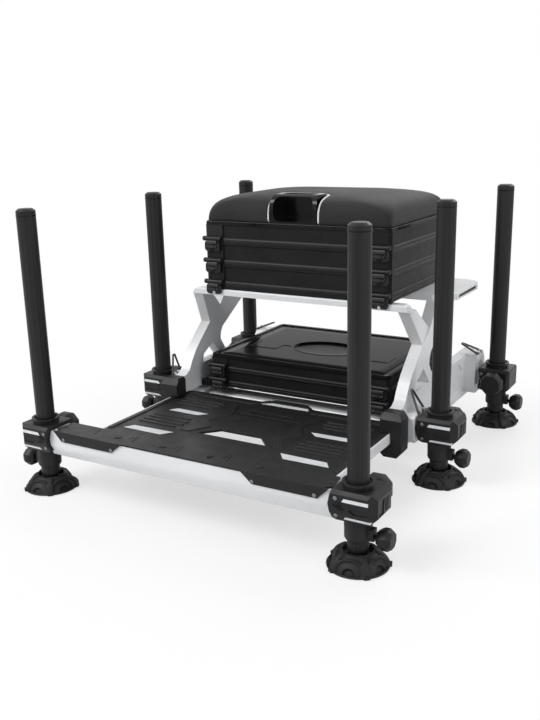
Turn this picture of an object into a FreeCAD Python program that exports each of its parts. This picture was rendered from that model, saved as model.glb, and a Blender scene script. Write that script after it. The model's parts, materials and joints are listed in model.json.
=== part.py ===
"""Fishing seat box: white cast frame on six legs, sliding footplate, stacked trays and a padded lid.

Frame: X to the sitter's left, Y from the footplate towards the rear, Z up, millimetres.
The origin is on the floor, under the middle of the feet.
"""
import FreeCAD
import Part
import math
import os

import Sketcher
from FreeCAD import Placement, Rotation, Vector

os.makedirs("parts", exist_ok=True)
doc = FreeCAD.newDocument("seat_box")
sheet = doc.addObject("Spreadsheet::Sheet", "Sizes")

SIZES = {
    # legs and their telescopic feet
    "leg_x": (335, "leg axis from the middle plane"),
    "leg_y": (381, "front and rear leg axes from the origin"),
    "mid_leg_y": (-4, "middle leg axis"),
    "tube_r": (18, "leg tube outside radius"),
    "tube_wall": (1.8, "leg tube wall"),
    "tube_top": (540, "top of the leg tube"),
    "cap_high": (9, "end cap above the tube"),
    "groove_z": (148, "mark groove on the tube, above the clamp"),
    "groove_wide": (0.8, "width of the mark groove"),
    "groove_deep": (0.5, "depth of the mark groove"),
    "run_gap": (0.3, "radial clearance of what turns or slides"),
    "stem_gap": (0.4, "clearance of the inner stem in the tube"),
    "stem_top": (366, "top of the inner stem"),
    "collar_r": (22.5, "lock collar outside radius"),
    "collar_low": (48, "bottom of the lock collar"),
    "collar_high": (69, "top of the lock collar, where the clamp skirt starts"),
    "tube_seat": (60, "where the tube ends inside the collar"),
    "boss_out": (29, "end of the collar's knob boss"),
    "boss_half": (8, "half width of the knob boss"),
    "lock_z": (55.5, "lock knob axis height"),
    "lock_shank_r": (4, "lock knob shank radius"),
    "lock_start": (34, "inner end of the lock knob"),
    "lock_long": (26, "lock knob length"),
    "lock_r": (17.5, "lock knob radius"),
    # feet
    "foot_r": (52, "foot rim radius"),
    "foot_rib_r": (55, "end of the foot ribs"),
    "foot_rib_wide": (9, "foot rib width"),
    "foot_rib_high": (8.5, "height of the ribs' ends"),
    "foot_rim": (4, "height of the rim disc"),
    "foot_high": (29, "top ring of the foot"),
    "foot_ring_r": (28.5, "outside of the top ring"),
    "foot_bowl_r": (24, "inside of the top ring"),
    "foot_floor": (20, "bowl floor round the ball"),
    "foot_step": (3, "depth of each arch step"),
    "foot_ribs": (5, "number of ribs"),
    "arch_r": (26, "radius of the arches between the ribs"),
    "arch_out": (10.5, "arch centre beyond the rim"),
    "hollow_r": (11, "radius of the half rounds at the rim"),
    "ball_r": (13, "foot ball radius"),
    "ball_z": (16, "foot ball centre"),
    "ball_neck_r": (9, "stalk above the ball"),
    "neck_low": (26.5, "bottom of the stem's shoulder"),
    # leg clamps
    "block_low": (85, "bottom of the clamp block"),
    "block_high": (137, "top of the clamp block"),
    "block_mid": (113, "height of the clamp's widest edge"),
    "block_in": (33, "block reach towards the middle"),
    "block_out": (43, "block reach outwards"),
    "block_front": (34, "block reach away from the knob"),
    "block_rear": (40, "block reach towards the knob"),
    "block_nose": (5, "arrow of the block's inner edge"),
    "ring_r": (26.5, "clamp top ring radius"),
    "ring_high": (10, "clamp top ring height"),
    "ring_lip": (3.5, "height of the top ring's lip"),
    "skirt_r": (22.8, "clamp skirt radius"),
    "screw_x": (6, "clamp knob axis, outboard of the leg"),
    "screw_z": (110, "clamp knob axis height"),
    "screw_r": (6, "clamp knob shank radius"),
    "knob_r": (24.5, "clamp knob radius"),
    "knob_long": (35, "clamp knob length"),
    "insert_deep": (1.2, "depth of the white clamp inserts"),
    "chevron_deep": (1.6, "depth of the arrow grooves"),
    "hollow_deep": (2.2, "depth of the hollow between the inserts"),
    "panel_deep": (1.5, "depth of the panel and grooves on the outer side"),
    # side frames
    "frame_in": (246, "inner face of the side frames"),
    "frame_thick": (24, "thickness of the side frames"),
    "rail_low": (66, "bottom of the base rail"),
    "rail_high": (163, "top of the base rail"),
    "rail_toe": (150, "top of the base rail at its front end"),
    "rail_front": (-46, "front end of the base rail"),
    "rail_rear": (414, "rear end of the base rail"),
    "channel_low": (87, "bottom of the slide channel"),
    "channel_high": (111.4, "top of the slide channel"),
    "frame_web": (6, "outer web beside the slide channel"),
    "waist_y": (66, "front waist of the X"),
    "waist_z": (252, "height of the front waist"),
    "arm_lean": (13, "how far the front arm leans in at its top"),
    "arm_y": (22, "front arm at its top, front edge"),
    "arm_wide": (34, "front arm at its top, depth"),
    "notch_y": (108, "upper notch of the X"),
    "notch_z": (280, "height of the upper notch"),
    "cast_mid_top": (137, "top of the middle corner casting"),
    "cast_rear_top": (165, "top of the rear corner casting"),
    # seat platform
    "seat_z": (340, "top of the seat platform"),
    "bar_thick": (13, "front bar and deck thickness"),
    "bar_deep": (25, "front bar depth"),
    "bar_half": (250, "front bar half length"),
    "bar_y": (18, "front face of the front bar"),
    "deck_half": (303, "rear deck half width"),
    "deck_front": (146, "front edge of the rear deck"),
    "deck_rear": (347, "rear edge of the rear deck"),
    "deck_round": (42, "rear deck corner radius"),
    # trays
    "tray_half": (218, "tray half width over the corner castings"),
    "tray_front": (20, "front of the corner castings"),
    "tray_deep": (326, "tray depth over the castings"),
    "tray_round": (9, "tray corner radius"),
    "tray_step": (3, "how far the castings stand proud"),
    "tray_wall": (3, "tray wall"),
    "tray_floor": (2.5, "tray floor"),
    "casting": (46, "corner casting length along the front"),
    "casting_side": (16, "corner casting length along the side"),
    "bead": (2.2, "how far the raised bands stand proud"),
    "stack_gap": (0.3, "gap between stacked trays"),
    "seat_pitch": (47, "height of a seat tray"),
    "low_pitch": (33, "height of a lower tray"),
    "low_z": (116.5, "bottom of the lower trays"),
    "lid_high": (8, "lower lid height"),
    "hinge_x": (150, "rear hinges from the middle"),
    "hinge_out": (5.5, "hinge pin behind the castings"),
    "hinge_r": (5, "hinge knuckle radius"),
    "hinge_pin_r": (2.5, "hinge pin radius"),
    "knuckle": (20, "hinge knuckle length"),
    # catches
    "catch_x": (196, "catch centre from the middle"),
    "catch_long": (40, "catch plate length"),
    "catch_out": (4.8, "catch pivot in front of the casting"),
    "catch_up": (17, "catch pivot above the tray's bottom"),
    "catch_r": (4.3, "catch barrel radius"),
    "catch_pin_r": (2, "catch pin radius"),
    "catch_down": (10, "how far the catch hangs below the seam"),
    "catch_short": (5.4, "how far the lowest catch hangs, clear of the footplate"),
    "catch_thick": (3.6, "catch plate thickness"),
    "keeper_r": (3, "keeper stud radius"),
    "keeper_down": (6, "keeper stud below the seam"),
    # cushion
    "pad_plate": (5, "cushion base plate"),
    "pad_high": (62, "cushion height over its base plate"),
    "pad_half": (216, "cushion half width"),
    "recess_half": (52, "handle recess half width"),
    "recess_deep": (62, "handle recess depth"),
    # footplate
    "beam_half": (302, "front beam half length"),
    "beam_front": (-405, "front face of the beam at its crease"),
    "beam_rear": (-352, "rear face of the beam"),
    "beam_low": (79, "bottom of the beam"),
    "beam_high": (129, "top of the beam"),
    "beam_crease": (101, "height of the beam's crease"),
    "strip_thick": (3, "black strip on the beam"),
    "strip_half": (296, "black strip half length"),
    "slide_in": (238, "slide rail inner edge"),
    "slide_out": (262, "slide rail outer edge"),
    "slide_low": (89, "bottom of the slide rails"),
    "slide_rear": (60, "rear end of the slide rails"),
    "panel_half": (257, "footplate panel half width"),
    "panel_rear": (-13, "rear edge of the footplate panel"),
    "panel_low": (103, "underside of the footplate panel"),
    "panel_high": (110, "top of the footplate panel's ribs"),
    "panel_skin": (108, "top of the footplate panel's skin"),
    # slide housings
    "house_in": (241, "inner face of the slide housings"),
    "house_out": (286, "outer face of the slide housings"),
    "house_front": (-80, "front face of the slide housings"),
    "house_low": (62, "bottom of the slide housings"),
    "ledge_in": (204, "inner edge of the tray ledges"),
    # cross members
    "cross_high": (96, "top of the cross members"),
    "cross_low": (76, "bottom of the cross members"),
    # strap loops
    "wire_r": (2.2, "strap loop wire radius"),
    "loop_half": (16, "strap loop half width"),
    "loop_long": (44, "strap loop length"),
    "loop_tip": (3, "half width of the strap loop's tip"),
}


class Size:
    """A number together with the sheet formula that gives it."""

    def __init__(self, formula, number):
        self.formula = formula
        self.number = float(number)

    def __float__(self):
        return self.number

    def __add__(self, other):
        return join(self, "+", other, self.number + float(other))

    def __radd__(self, other):
        return join(other, "+", self, float(other) + self.number)

    def __sub__(self, other):
        return join(self, "-", other, self.number - float(other))

    def __rsub__(self, other):
        return join(other, "-", self, float(other) - self.number)

    def __mul__(self, other):
        return join(self, "*", other, self.number * float(other))

    def __rmul__(self, other):
        return join(other, "*", self, float(other) * self.number)

    def __truediv__(self, other):
        return join(self, "/", other, self.number / float(other))

    def __neg__(self):
        return join(-1, "*", self, -self.number)


def formula(value):
    return value.formula if isinstance(value, Size) else repr(float(value))


def join(left, sign, right, number):
    return Size(f"({formula(left)} {sign} {formula(right)})", number)


class Named:
    """The driving sizes by name."""


S = Named()
for row, (alias, (number, meaning)) in enumerate(SIZES.items(), 1):
    sheet.set(f"A{row}", alias)
    sheet.set(f"B{row}", str(number))
    sheet.set(f"C{row}", meaning)
    sheet.setAlias(f"B{row}", alias)
    setattr(S, alias, Size(f"Sizes.{alias}", number))
doc.recompute()

COS = [math.cos(math.radians(a)) for a in range(360)]
SIN = [math.sin(math.radians(a)) for a in range(360)]

# Each drawing plane by its two sheet axes and its normal.
PLANES = {
    "XY": (Vector(1, 0, 0), Vector(0, 1, 0), Vector(0, 0, 1), "z"),
    "XZ": (Vector(1, 0, 0), Vector(0, 0, 1), Vector(0, -1, 0), "y"),
    "YZ": (Vector(0, 1, 0), Vector(0, 0, 1), Vector(1, 0, 0), "x"),
}
ALONG = {"X": Vector(1, 0, 0), "Y": Vector(0, 1, 0), "Z": Vector(0, 0, 1)}
NORMAL = {"XY": "Z", "XZ": "Y", "YZ": "X"}

used = set()
nodes = []


def fresh(name):
    """A document name that is not taken yet."""
    count = 1
    trial = name
    while trial in used:
        count += 1
        trial = f"{name}_{count}"
    used.add(trial)
    return trial


def add(kind, name):
    return doc.addObject(kind, fresh(name))


def bind(obj, prop, size):
    obj.setExpression(prop, formula(size))


def put(obj, x=0, y=0, z=0, turn=None):
    """Give an object its place, by sizes of the sheet."""
    obj.Placement = Placement(Vector(float(x), float(y), float(z)), turn or Rotation())
    for axis, value in (("x", x), ("y", y), ("z", z)):
        bind(obj, f"Placement.Base.{axis}", value)
    return obj


def draw(sketch, loops):
    """Draw closed loops. A point is (u, v), or (u, v, radius) where an arc leaves it.

    A positive radius bulges to the right of the walk, a negative one to the left.
    """
    for loop in loops:
        first = sketch.GeometryCount
        for number, corner in enumerate(loop):
            after = loop[(number + 1) % len(loop)]
            start = Vector(float(corner[0]), float(corner[1]), 0)
            end = Vector(float(after[0]), float(after[1]), 0)
            if len(corner) == 2:
                sketch.addGeometry(Part.LineSegment(start, end), False)
            else:
                sketch.addGeometry(arc_between(start, end, float(corner[2])), False)
        for number, corner in enumerate(loop):
            here = first + number
            following = (number + 1) % len(loop)
            begin, finish = walk_ends(corner)
            meets = walk_ends(loop[following])[0]
            sketch.addConstraint(Sketcher.Constraint("Coincident", here, finish, first + following, meets))
            for word, value in (("DistanceX", corner[0]), ("DistanceY", corner[1])):
                hold(sketch, Sketcher.Constraint(word, -1, 1, here, begin, float(value)), value)
            if len(corner) == 3:
                size = corner[2] if float(corner[2]) > 0 else -corner[2]
                hold(sketch, Sketcher.Constraint("Radius", here, float(size)), size)


def hold(sketch, rule, value):
    place = sketch.addConstraint(rule)
    sketch.setExpression(f"Constraints[{place}]", formula(value))


def walk_ends(corner):
    """The start and end numbers of an edge on the walk: arcs always run anticlockwise."""
    return (2, 1) if len(corner) == 3 and float(corner[2]) < 0 else (1, 2)


def arc_between(start, end, radius):
    chord = end - start
    right = Vector(chord.y, -chord.x, 0).normalize()
    reach = abs(radius)
    back = math.sqrt(max(reach * reach - chord.Length ** 2 / 4, 0))
    centre = (start + end) / 2 - right * math.copysign(back, radius)
    first, last = (start, end) if radius > 0 else (end, start)
    angles = [math.atan2(point.y - centre.y, point.x - centre.x) for point in (first, last)]
    if angles[1] < angles[0]:
        angles[1] += 2 * math.pi
    return Part.ArcOfCircle(Part.Circle(centre, Vector(0, 0, 1), reach), *angles)


def outline(name, plane, loops, level=0):
    """A free sketch on a plane at a level along that plane's normal axis."""
    sketch = add("Sketcher::SketchObject", name)
    right, up, normal, axis = PLANES[plane]
    put(sketch, turn=Rotation(right, up, normal, "ZXY"))
    bind(sketch, f"Placement.Base.{axis}", level)
    draw(sketch, loops)
    return sketch


def prism(name, plane, loops, low, high):
    """A straight solid over an outline, from low to high along the plane's axis."""
    solid = add("Part::Extrusion", name)
    solid.Base = outline(name + "_outline", plane, loops, low)
    solid.DirMode = "Custom"
    solid.Dir = ALONG[NORMAL[plane]]
    bind(solid, "LengthFwd", high - low if isinstance(high, Size) else -(low - high))
    solid.Solid = True
    return solid


def box(name, x, y, z):
    """A block between pairs of sizes."""
    solid = add("Part::Box", name)
    for prop, pair in (("Length", x), ("Width", y), ("Height", z)):
        bind(solid, prop, as_size(pair[1]) - pair[0])
    return put(solid, x[0], y[0], z[0])


def as_size(value):
    return value if isinstance(value, Size) else Size(repr(float(value)), value)


TURNS = {
    "Z": Rotation(),
    "X": Rotation(Vector(0, 1, 0), 90),
    "-X": Rotation(Vector(0, 1, 0), -90),
    "Y": Rotation(Vector(1, 0, 0), -90),
    "-Y": Rotation(Vector(1, 0, 0), 90),
}


def rod(name, radius, long, x=0, y=0, z=0, along="Z"):
    """A round bar from a point along an axis."""
    solid = add("Part::Cylinder", name)
    bind(solid, "Radius", radius)
    bind(solid, "Height", long)
    return put(solid, x, y, z, TURNS[along])


def turned(name, points, x=0, y=0, z=0, along="Z"):
    """A turned solid: points are (radius, height) on its own axis."""
    solid = add("Part::Revolution", name)
    solid.Source = outline(name + "_outline", "XZ", [points])
    solid.Base = Vector(0, 0, 0)
    solid.Axis = Vector(0, 0, 1)
    solid.Angle = 360
    solid.Solid = True
    return put(solid, x, y, z, TURNS[along])


def fuse(name, solids):
    whole = add("Part::MultiFuse", name)
    whole.Shapes = solids
    whole.Refine = True
    return whole


def common(name, solids):
    whole = add("Part::MultiCommon", name)
    whole.Shapes = solids
    whole.Refine = True
    return whole


def cut(name, base, tools):
    whole = add("Part::Cut", name)
    whole.Base = base
    whole.Tool = tools[0] if len(tools) == 1 else group(name + "_tools", tools)
    whole.Refine = True
    return whole


def group(name, solids):
    """Separate solids that share one object, or copies of one solid placed elsewhere."""
    whole = add("Part::Compound", name)
    whole.Links = solids
    return whole


def copy(name, solid, x=0, y=0, z=0, turn=None):
    return put(group(name, [solid]), x, y, z, turn)


def keep(obj, label):
    obj.Label = label
    nodes.append(obj)
    return obj


HALF_TURN = Rotation(Vector(0, 0, 1), 180)
# Sides of what is round on the object but repeats: outside, and in a bore.
ROUND_SIDES = 24
BORE_SIDES = 16


def rectangle(x, y):
    return [(x[0], y[0]), (x[1], y[0]), (x[1], y[1]), (x[0], y[1])]


def rounded(x, y, radius):
    """A rectangle with round corners, walked anticlockwise."""
    return [
        (x[0] + radius, y[0]), (x[1] - radius, y[0], radius),
        (x[1], y[0] + radius), (x[1], y[1] - radius, radius),
        (x[1] - radius, y[1]), (x[0] + radius, y[1], radius),
        (x[0], y[1] - radius), (x[0], y[0] + radius, radius),
    ]


# Foot: an umbrella of many flats with five ribs, stepped arches between them and a ball socket.

def faceted(name, profile, sides):
    """A solid with flat sides all round: one outline, swept across at each turn and intersected.

    The profile is (radius over the flats, height) from the bottom up.
    """
    wide = max(float(radius) for radius, height in profile) * 1.5
    mirror = [(-radius, height) for radius, height in reversed(profile)]
    slab = prism(name + "_slab", "XZ", [list(profile) + mirror], as_size(-wide), as_size(wide))
    turns = [copy(name + "_turn", slab, 0, 0, 0, Rotation(Vector(0, 0, 1), 360 / sides * number))
             for number in range(1, sides // 2)]
    return common(name, [slab] + turns)


def dome(name, drop):
    """The umbrella at one of its levels: drop is how far it lies inside the ribs."""
    return faceted(name, [
        (S.foot_r - drop, 0), (S.foot_r - drop, S.foot_rim - drop / 3),
        (S.foot_ring_r + 7 - drop, S.foot_high - 8), (S.foot_ring_r - drop / 2, S.foot_high - drop / 3),
    ], ROUND_SIDES)


def make_foot():
    rim_disc = faceted("foot_rim_disc", [(S.foot_r, 0), (S.foot_r, S.foot_rim - 0.5)], ROUND_SIDES)
    arch = faceted("foot_arch", [(S.arch_r, -1), (S.arch_r, S.foot_high + 1)], 16)
    hollow = faceted("foot_hollow", [(S.hollow_r, -1), (S.hollow_r, S.foot_high + 1)], 12)
    arches = []
    hollows = []
    ribs = []
    count = int(float(S.foot_ribs))
    for number in range(count):
        angle = 360 / count * number + 18
        c = math.cos(math.radians(angle))
        s = math.sin(math.radians(angle))
        turn = Rotation(Vector(0, 0, 1), angle)
        reach = S.foot_r + S.arch_out
        arches.append(copy("foot_arch_turn", arch, reach * c, reach * s, 0, turn))
        hollows.append(copy("foot_hollow_turn", hollow, S.foot_r * c, S.foot_r * s, 0, turn))
        between = angle + 180 / count
        rib = box("foot_rib", (S.foot_ring_r, S.foot_rib_r), (0, S.foot_rib_wide), (0, S.foot_rib_high))
        c = math.cos(math.radians(between))
        s = math.sin(math.radians(between))
        half = S.foot_rib_wide / 2
        ribs.append(put(rib, half * s, -half * c, 0, Rotation(Vector(0, 0, 1), between)))
    disc = fuse("foot_disc", [
        cut("foot_outer_cut", dome("foot_outer", as_size(0)), arches),
        cut("foot_middle_cut", dome("foot_middle", S.foot_step), hollows),
        dome("foot_inner", 2 * S.foot_step),
        rim_disc,
    ] + ribs)
    bowl = faceted("foot_bowl", [(S.foot_bowl_r - 2, S.foot_floor), (S.foot_bowl_r, S.foot_high + 2)], ROUND_SIDES)
    z = S.ball_z
    r = S.ball_r + S.run_gap
    socket = faceted("foot_socket", [
        (r * 0.75, z - 14), (r, z - 4), (r, z + 1), (r * 0.95, S.foot_floor + 1),
    ], 16)
    return cut("foot_master", disc, [fuse("foot_inside", [bowl, socket])])


def make_stem():
    """Ball, stalk, shoulder and shaft in one piece."""
    z = S.ball_z
    r = S.ball_r
    shaft = S.tube_r - S.tube_wall - S.stem_gap
    low = S.collar_low - S.run_gap
    ball = [(r * SIN[a], z - r * COS[a]) for a in (20, 50, 80, 110)]
    return faceted("stem_master", ball + [
        (S.ball_neck_r, z + r * 0.72), (S.ball_neck_r, S.neck_low), (S.tube_r - 2, S.neck_low),
        (S.tube_r, S.neck_low + 2), (S.tube_r, low), (shaft, low), (shaft, S.stem_top),
    ], 20)


def make_leg():
    """Leg tube, end cap and lock collar: three pieces that move as one."""
    bore = S.tube_r - S.tube_wall
    root = S.tube_r - S.groove_deep
    groove = cut(
        "leg_groove",
        rod("groove_ring", S.tube_r + 1, S.groove_wide, 0, 0, S.groove_z),
        [rod("groove_root", root, S.groove_wide, 0, 0, S.groove_z)],
    )
    tube = cut(
        "leg_pipe",
        rod("leg_pipe_outer", S.tube_r, S.tube_top - S.tube_seat, 0, 0, S.tube_seat),
        [rod("leg_pipe_bore", bore, S.tube_top, 0, 0, S.tube_seat - 1), groove],
    )
    cap_top = S.tube_top + S.cap_high
    cap = turned("leg_cap", [
        (0, S.tube_top), (S.tube_r, S.tube_top), (S.tube_r, cap_top - 4), (S.tube_r - 5, cap_top), (0, cap_top),
    ])
    low = S.collar_low
    top = S.collar_high - S.run_gap
    ring = faceted("collar_ring", [(S.collar_r - 1.5, low), (S.collar_r, low + 3), (S.collar_r, top)], ROUND_SIDES)
    boss = prism(
        "collar_boss", "YZ",
        [[(-S.boss_half + 3, low), (S.boss_half - 3, low), (S.boss_half, low + 3),
          (S.boss_half, top), (-S.boss_half, top), (-S.boss_half, low + 3)]],
        S.tube_r, S.boss_out,
    )
    collar = cut("leg_collar", fuse("collar_solid", [ring, boss]), [
        faceted("collar_bore", [(bore, low - 1), (bore, S.tube_seat)], BORE_SIDES),
        faceted("collar_socket", [(S.tube_r, S.tube_seat), (S.tube_r, S.collar_high)], BORE_SIDES),
        rod("collar_thread", S.lock_shank_r + S.run_gap, S.boss_out, 0, 0, S.lock_z, "X"),
    ])
    return group("leg_master", [tube, cap, collar])


def make_lock_knob():
    r = S.lock_r
    long = S.lock_long
    grip = faceted("lock_grip", [(r * 0.62, 0), (r * 0.84, 5), (r, 11), (r, long - 7), (r * 0.76, long)], 8)
    start = S.tube_r - S.tube_wall + S.run_gap - S.lock_start
    shank = faceted("lock_shank", [(S.lock_shank_r, start), (S.lock_shank_r, 1)], 12)
    return copy("lock_knob_master", fuse("lock_knob_solid", [grip, shank]), S.lock_start, 0, S.lock_z, TURNS["X"])


def make_clamp_knob():
    r = S.knob_r
    long = S.knob_long
    grip = faceted("clamp_grip", [
        (r * 0.62, 0), (r * 0.64, 4), (r * 0.95, 10), (r, 15), (r, long - 9), (r * 0.84, long),
    ], 8)
    start = S.tube_r + 1.4 - S.block_rear - S.run_gap
    shank = faceted("clamp_shank", [(S.screw_r, start), (S.screw_r, 1)], 12)
    return fuse("clamp_knob_solid", [grip, shank])


def make_block(side):
    """The faceted clamp block round the leg axis. Side is 1 on the right and -1 on the left.

    The inner edge is an arrow that points to the left on both sides.
    """
    inner = S.block_in + side * S.block_nose
    reach = S.block_in + S.block_nose
    plan = [
        (-side * reach, -S.block_front), (side * (S.block_out - 13), -S.block_front),
        (side * S.block_out, -S.block_front + 13), (side * S.block_out, S.block_rear - 10),
        (side * (S.block_out - 10), S.block_rear), (-side * reach, S.block_rear),
    ]
    front = [
        (-side * S.block_in, S.block_high), (-side * inner, S.block_mid), (-side * S.block_in, S.block_low + 4),
        (-side * (S.block_in - 6), S.block_low), (side * (S.block_out - 14), S.block_low),
        (side * S.block_out, S.block_low + 12), (side * S.block_out, S.block_high - 9),
        (side * (S.block_out - 7), S.block_high),
    ]
    flank = [
        (-S.block_front + 5, S.block_high), (-S.block_front, S.block_high - 6),
        (-S.block_front, S.block_low + 15), (-S.block_front + 7, S.block_low), (S.block_rear - 6, S.block_low),
        (S.block_rear, S.block_low + 12), (S.block_rear, S.block_high - 6), (S.block_rear - 5, S.block_high),
    ]
    tall = (S.block_low - 1, S.block_high + 1)
    return common("block_solid", [
        prism("block_plan", "XY", [plan], *tall),
        prism("block_face", "XZ", [front], -S.block_front - 1, S.block_rear + 1),
        prism("block_flank", "YZ", [flank], -reach - 1, S.block_out + 1 if side > 0 else S.block_out + 6),
    ])


def insert_tools(side):
    """Where the two white inserts sit in the block's front face."""
    upper = [(-side * 10, 126), (-side * 14, 120), (side * 36, 120), (side * 36, 126)]
    lower = [(-side * 8, 94), (-side * 12, 89), (side * 34, 89), (side * 36, 94)]
    near = -S.block_front - 3
    return [
        prism("insert_upper", "XZ", [upper], near, -S.block_front + S.insert_deep),
        prism("insert_lower", "XZ", [lower], near, -S.block_front + 5 + S.insert_deep),
    ]


def chevron(side, start):
    """One arrow groove in the block's front face."""
    points = [
        (side * (start - S.block_in), S.block_mid), (side * (start + 9 - S.block_in), S.block_mid + 7),
        (side * (start + 12 - S.block_in), S.block_mid + 7), (side * (start + 3 - S.block_in), S.block_mid),
        (side * (start + 12 - S.block_in), S.block_mid - 7), (side * (start + 9 - S.block_in), S.block_mid - 7),
    ]
    return prism("block_chevron", "XZ", [points], -S.block_front - 1, -S.block_front + S.chevron_deep)


def flank_tools(side):
    """The hollow between the inserts, and the slanted panel and three grooves on the outer side."""
    hollow = prism("block_hollow", "XZ", [[
        (-side * 2, 107), (side * 5, 113), (side * 37, 112), (side * 37, 103), (side * 7, 101)]],
        -S.block_front - 1, -S.block_front + S.hollow_deep)
    across = sorted([side * (S.block_out - S.panel_deep), side * (S.block_out + 6)], key=float)
    panel = prism("block_panel", "YZ", [[(-18, 99), (0, 99), (4, 124), (-14, 124)]], *across)
    grooves = [prism("block_groove", "YZ", [[(y, 101), (y + 2.4, 101), (y + 5, 123), (y + 2.6, 123)]], *across)
               for y in (5, 10, 15)]
    return [hollow, panel] + grooves


def make_clamp(side, block):
    skirt = faceted("clamp_skirt", [(S.skirt_r, S.collar_high), (S.skirt_r, S.block_low + 5)], ROUND_SIDES)
    top = S.block_high + S.ring_high
    lip = top - S.ring_lip
    ring = faceted("clamp_ring", [
        (S.ring_r - 2.5, S.block_high - 1), (S.ring_r - 2.5, lip - 2), (S.ring_r, lip), (S.ring_r, top),
    ], ROUND_SIDES)
    screw_hole = rod(
        "clamp_screw_hole", S.screw_r + S.run_gap, S.block_rear, side * S.screw_x, S.tube_r - 2, S.screw_z, "Y")
    play = S.tube_r + S.run_gap
    bore = faceted("clamp_bore", [(play, S.collar_high - 1), (play, top)], BORE_SIDES)
    cup = faceted("clamp_cup", [(S.ring_r - 5, lip), (S.ring_r - 5, top + 1)], BORE_SIDES)
    grooves = [chevron(side, start) for start in (4, 9, 14)]
    solid = fuse("clamp_solid", [block, skirt, ring])
    return cut(f"clamp_master_{'right' if side > 0 else 'left'}", solid,
               [screw_hole, bore, cup] + insert_tools(side) + grooves + flank_tools(side))


foot_master = make_foot()
stem_master = make_stem()
leg_master = make_leg()
lock_master = make_lock_knob()
knob_master = make_clamp_knob()
blocks = {side: make_block(side) for side in (1, -1)}
clamps = {side: make_clamp(side, blocks[side]) for side in (1, -1)}
inserts = {side: common("insert_master", [blocks[side], group("insert_cutters", insert_tools(side))])
           for side in (1, -1)}

# A leg by its name: its side, the level of its row and whether its clamp is turned about.
LEGS = {
    "fl": (-1, -S.leg_y, False), "fr": (1, -S.leg_y, False),
    "ml": (-1, S.mid_leg_y, False), "mr": (1, S.mid_leg_y, False),
    "rl": (-1, S.leg_y, True), "rr": (1, S.leg_y, True),
}


def make_legs():
    """All six legs. Returns each clamp and each pair of inserts by the leg's name."""
    made = {}
    for name, (side, y, about) in LEGS.items():
        x = side * S.leg_x
        outward = HALF_TURN if side < 0 else Rotation()
        keep(copy("foot", foot_master, x, y, 0, outward), f"foot_{name}")
        keep(copy("stem", stem_master, x, y, 0, outward), f"foot_stem_{name}")
        keep(copy("leg", leg_master, x, y, 0, outward), f"leg_tube_{name}")
        keep(copy("lock", lock_master, x, y, 0, outward), f"lock_knob_{name}")
        hand = -side if about else side
        turn = HALF_TURN if about else Rotation()
        reach = S.block_rear + S.run_gap
        if about:
            knob = copy("knob", knob_master, x + side * S.screw_x, y - reach, S.screw_z, TURNS["-Y"])
        else:
            knob = copy("knob", knob_master, x + side * S.screw_x, y + reach, S.screw_z, TURNS["Y"])
        keep(knob, f"clamp_knob_{name}")
        made[name] = (
            copy("clamp", clamps[hand], x, y, 0, turn),
            copy("insert", inserts[hand], x, y, 0, turn),
            copy("block", blocks[hand], x, y, 0, turn),
        )
    return made


clamp_of = make_legs()
keep(group("clamps", [clamp_of["fl"][0], clamp_of["fr"][0]]), "clamps_front")
keep(group("clamps", [clamp_of["ml"][0], clamp_of["mr"][0]]), "clamps_middle")
keep(group("clamps", [clamp_of["rl"][0], clamp_of["rr"][0]]), "clamps_rear")
keep(group("inserts", [clamp_of["ml"][1], clamp_of["mr"][1]]), "clamp_inserts")


# Strap loops: bent wire triangles in saddles on the castings. Lean is measured inboard from upright.
SEAT = S.wire_r + S.run_gap
LOOPS = {
    "ml": (-1, S.mid_leg_y, 39, S.cast_mid_top + SEAT, -8),
    "mr": (1, S.mid_leg_y, 39, S.cast_mid_top + SEAT, 27),
    "rl": (-1, S.leg_y - 12, 39, S.cast_rear_top + SEAT, 68),
    "rr": (1, S.leg_y - 12, 39, S.cast_rear_top + SEAT, 68),
}


def loop_saddle(name):
    """Two lugs that hold a loop's base wire."""
    side, y, inboard, z, lean = LOOPS[name]
    x = side * (S.leg_x - inboard)
    return [box("saddle", (x - 4.5, x + 4.5), (y + end * 9 - 2.5, y + end * 9 + 2.5), (z - SEAT - 1, z + 4))
            for end in (-1, 1)]


def loop_eye(name):
    side, y, inboard, z, lean = LOOPS[name]
    return rod("saddle_eye", SEAT, S.loop_half * 2 + 8, side * (S.leg_x - inboard), y - S.loop_half - 4, z, "Y")


# Side frames: an X-shaped casting over a channelled base rail, with a corner casting to each clamp.

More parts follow.
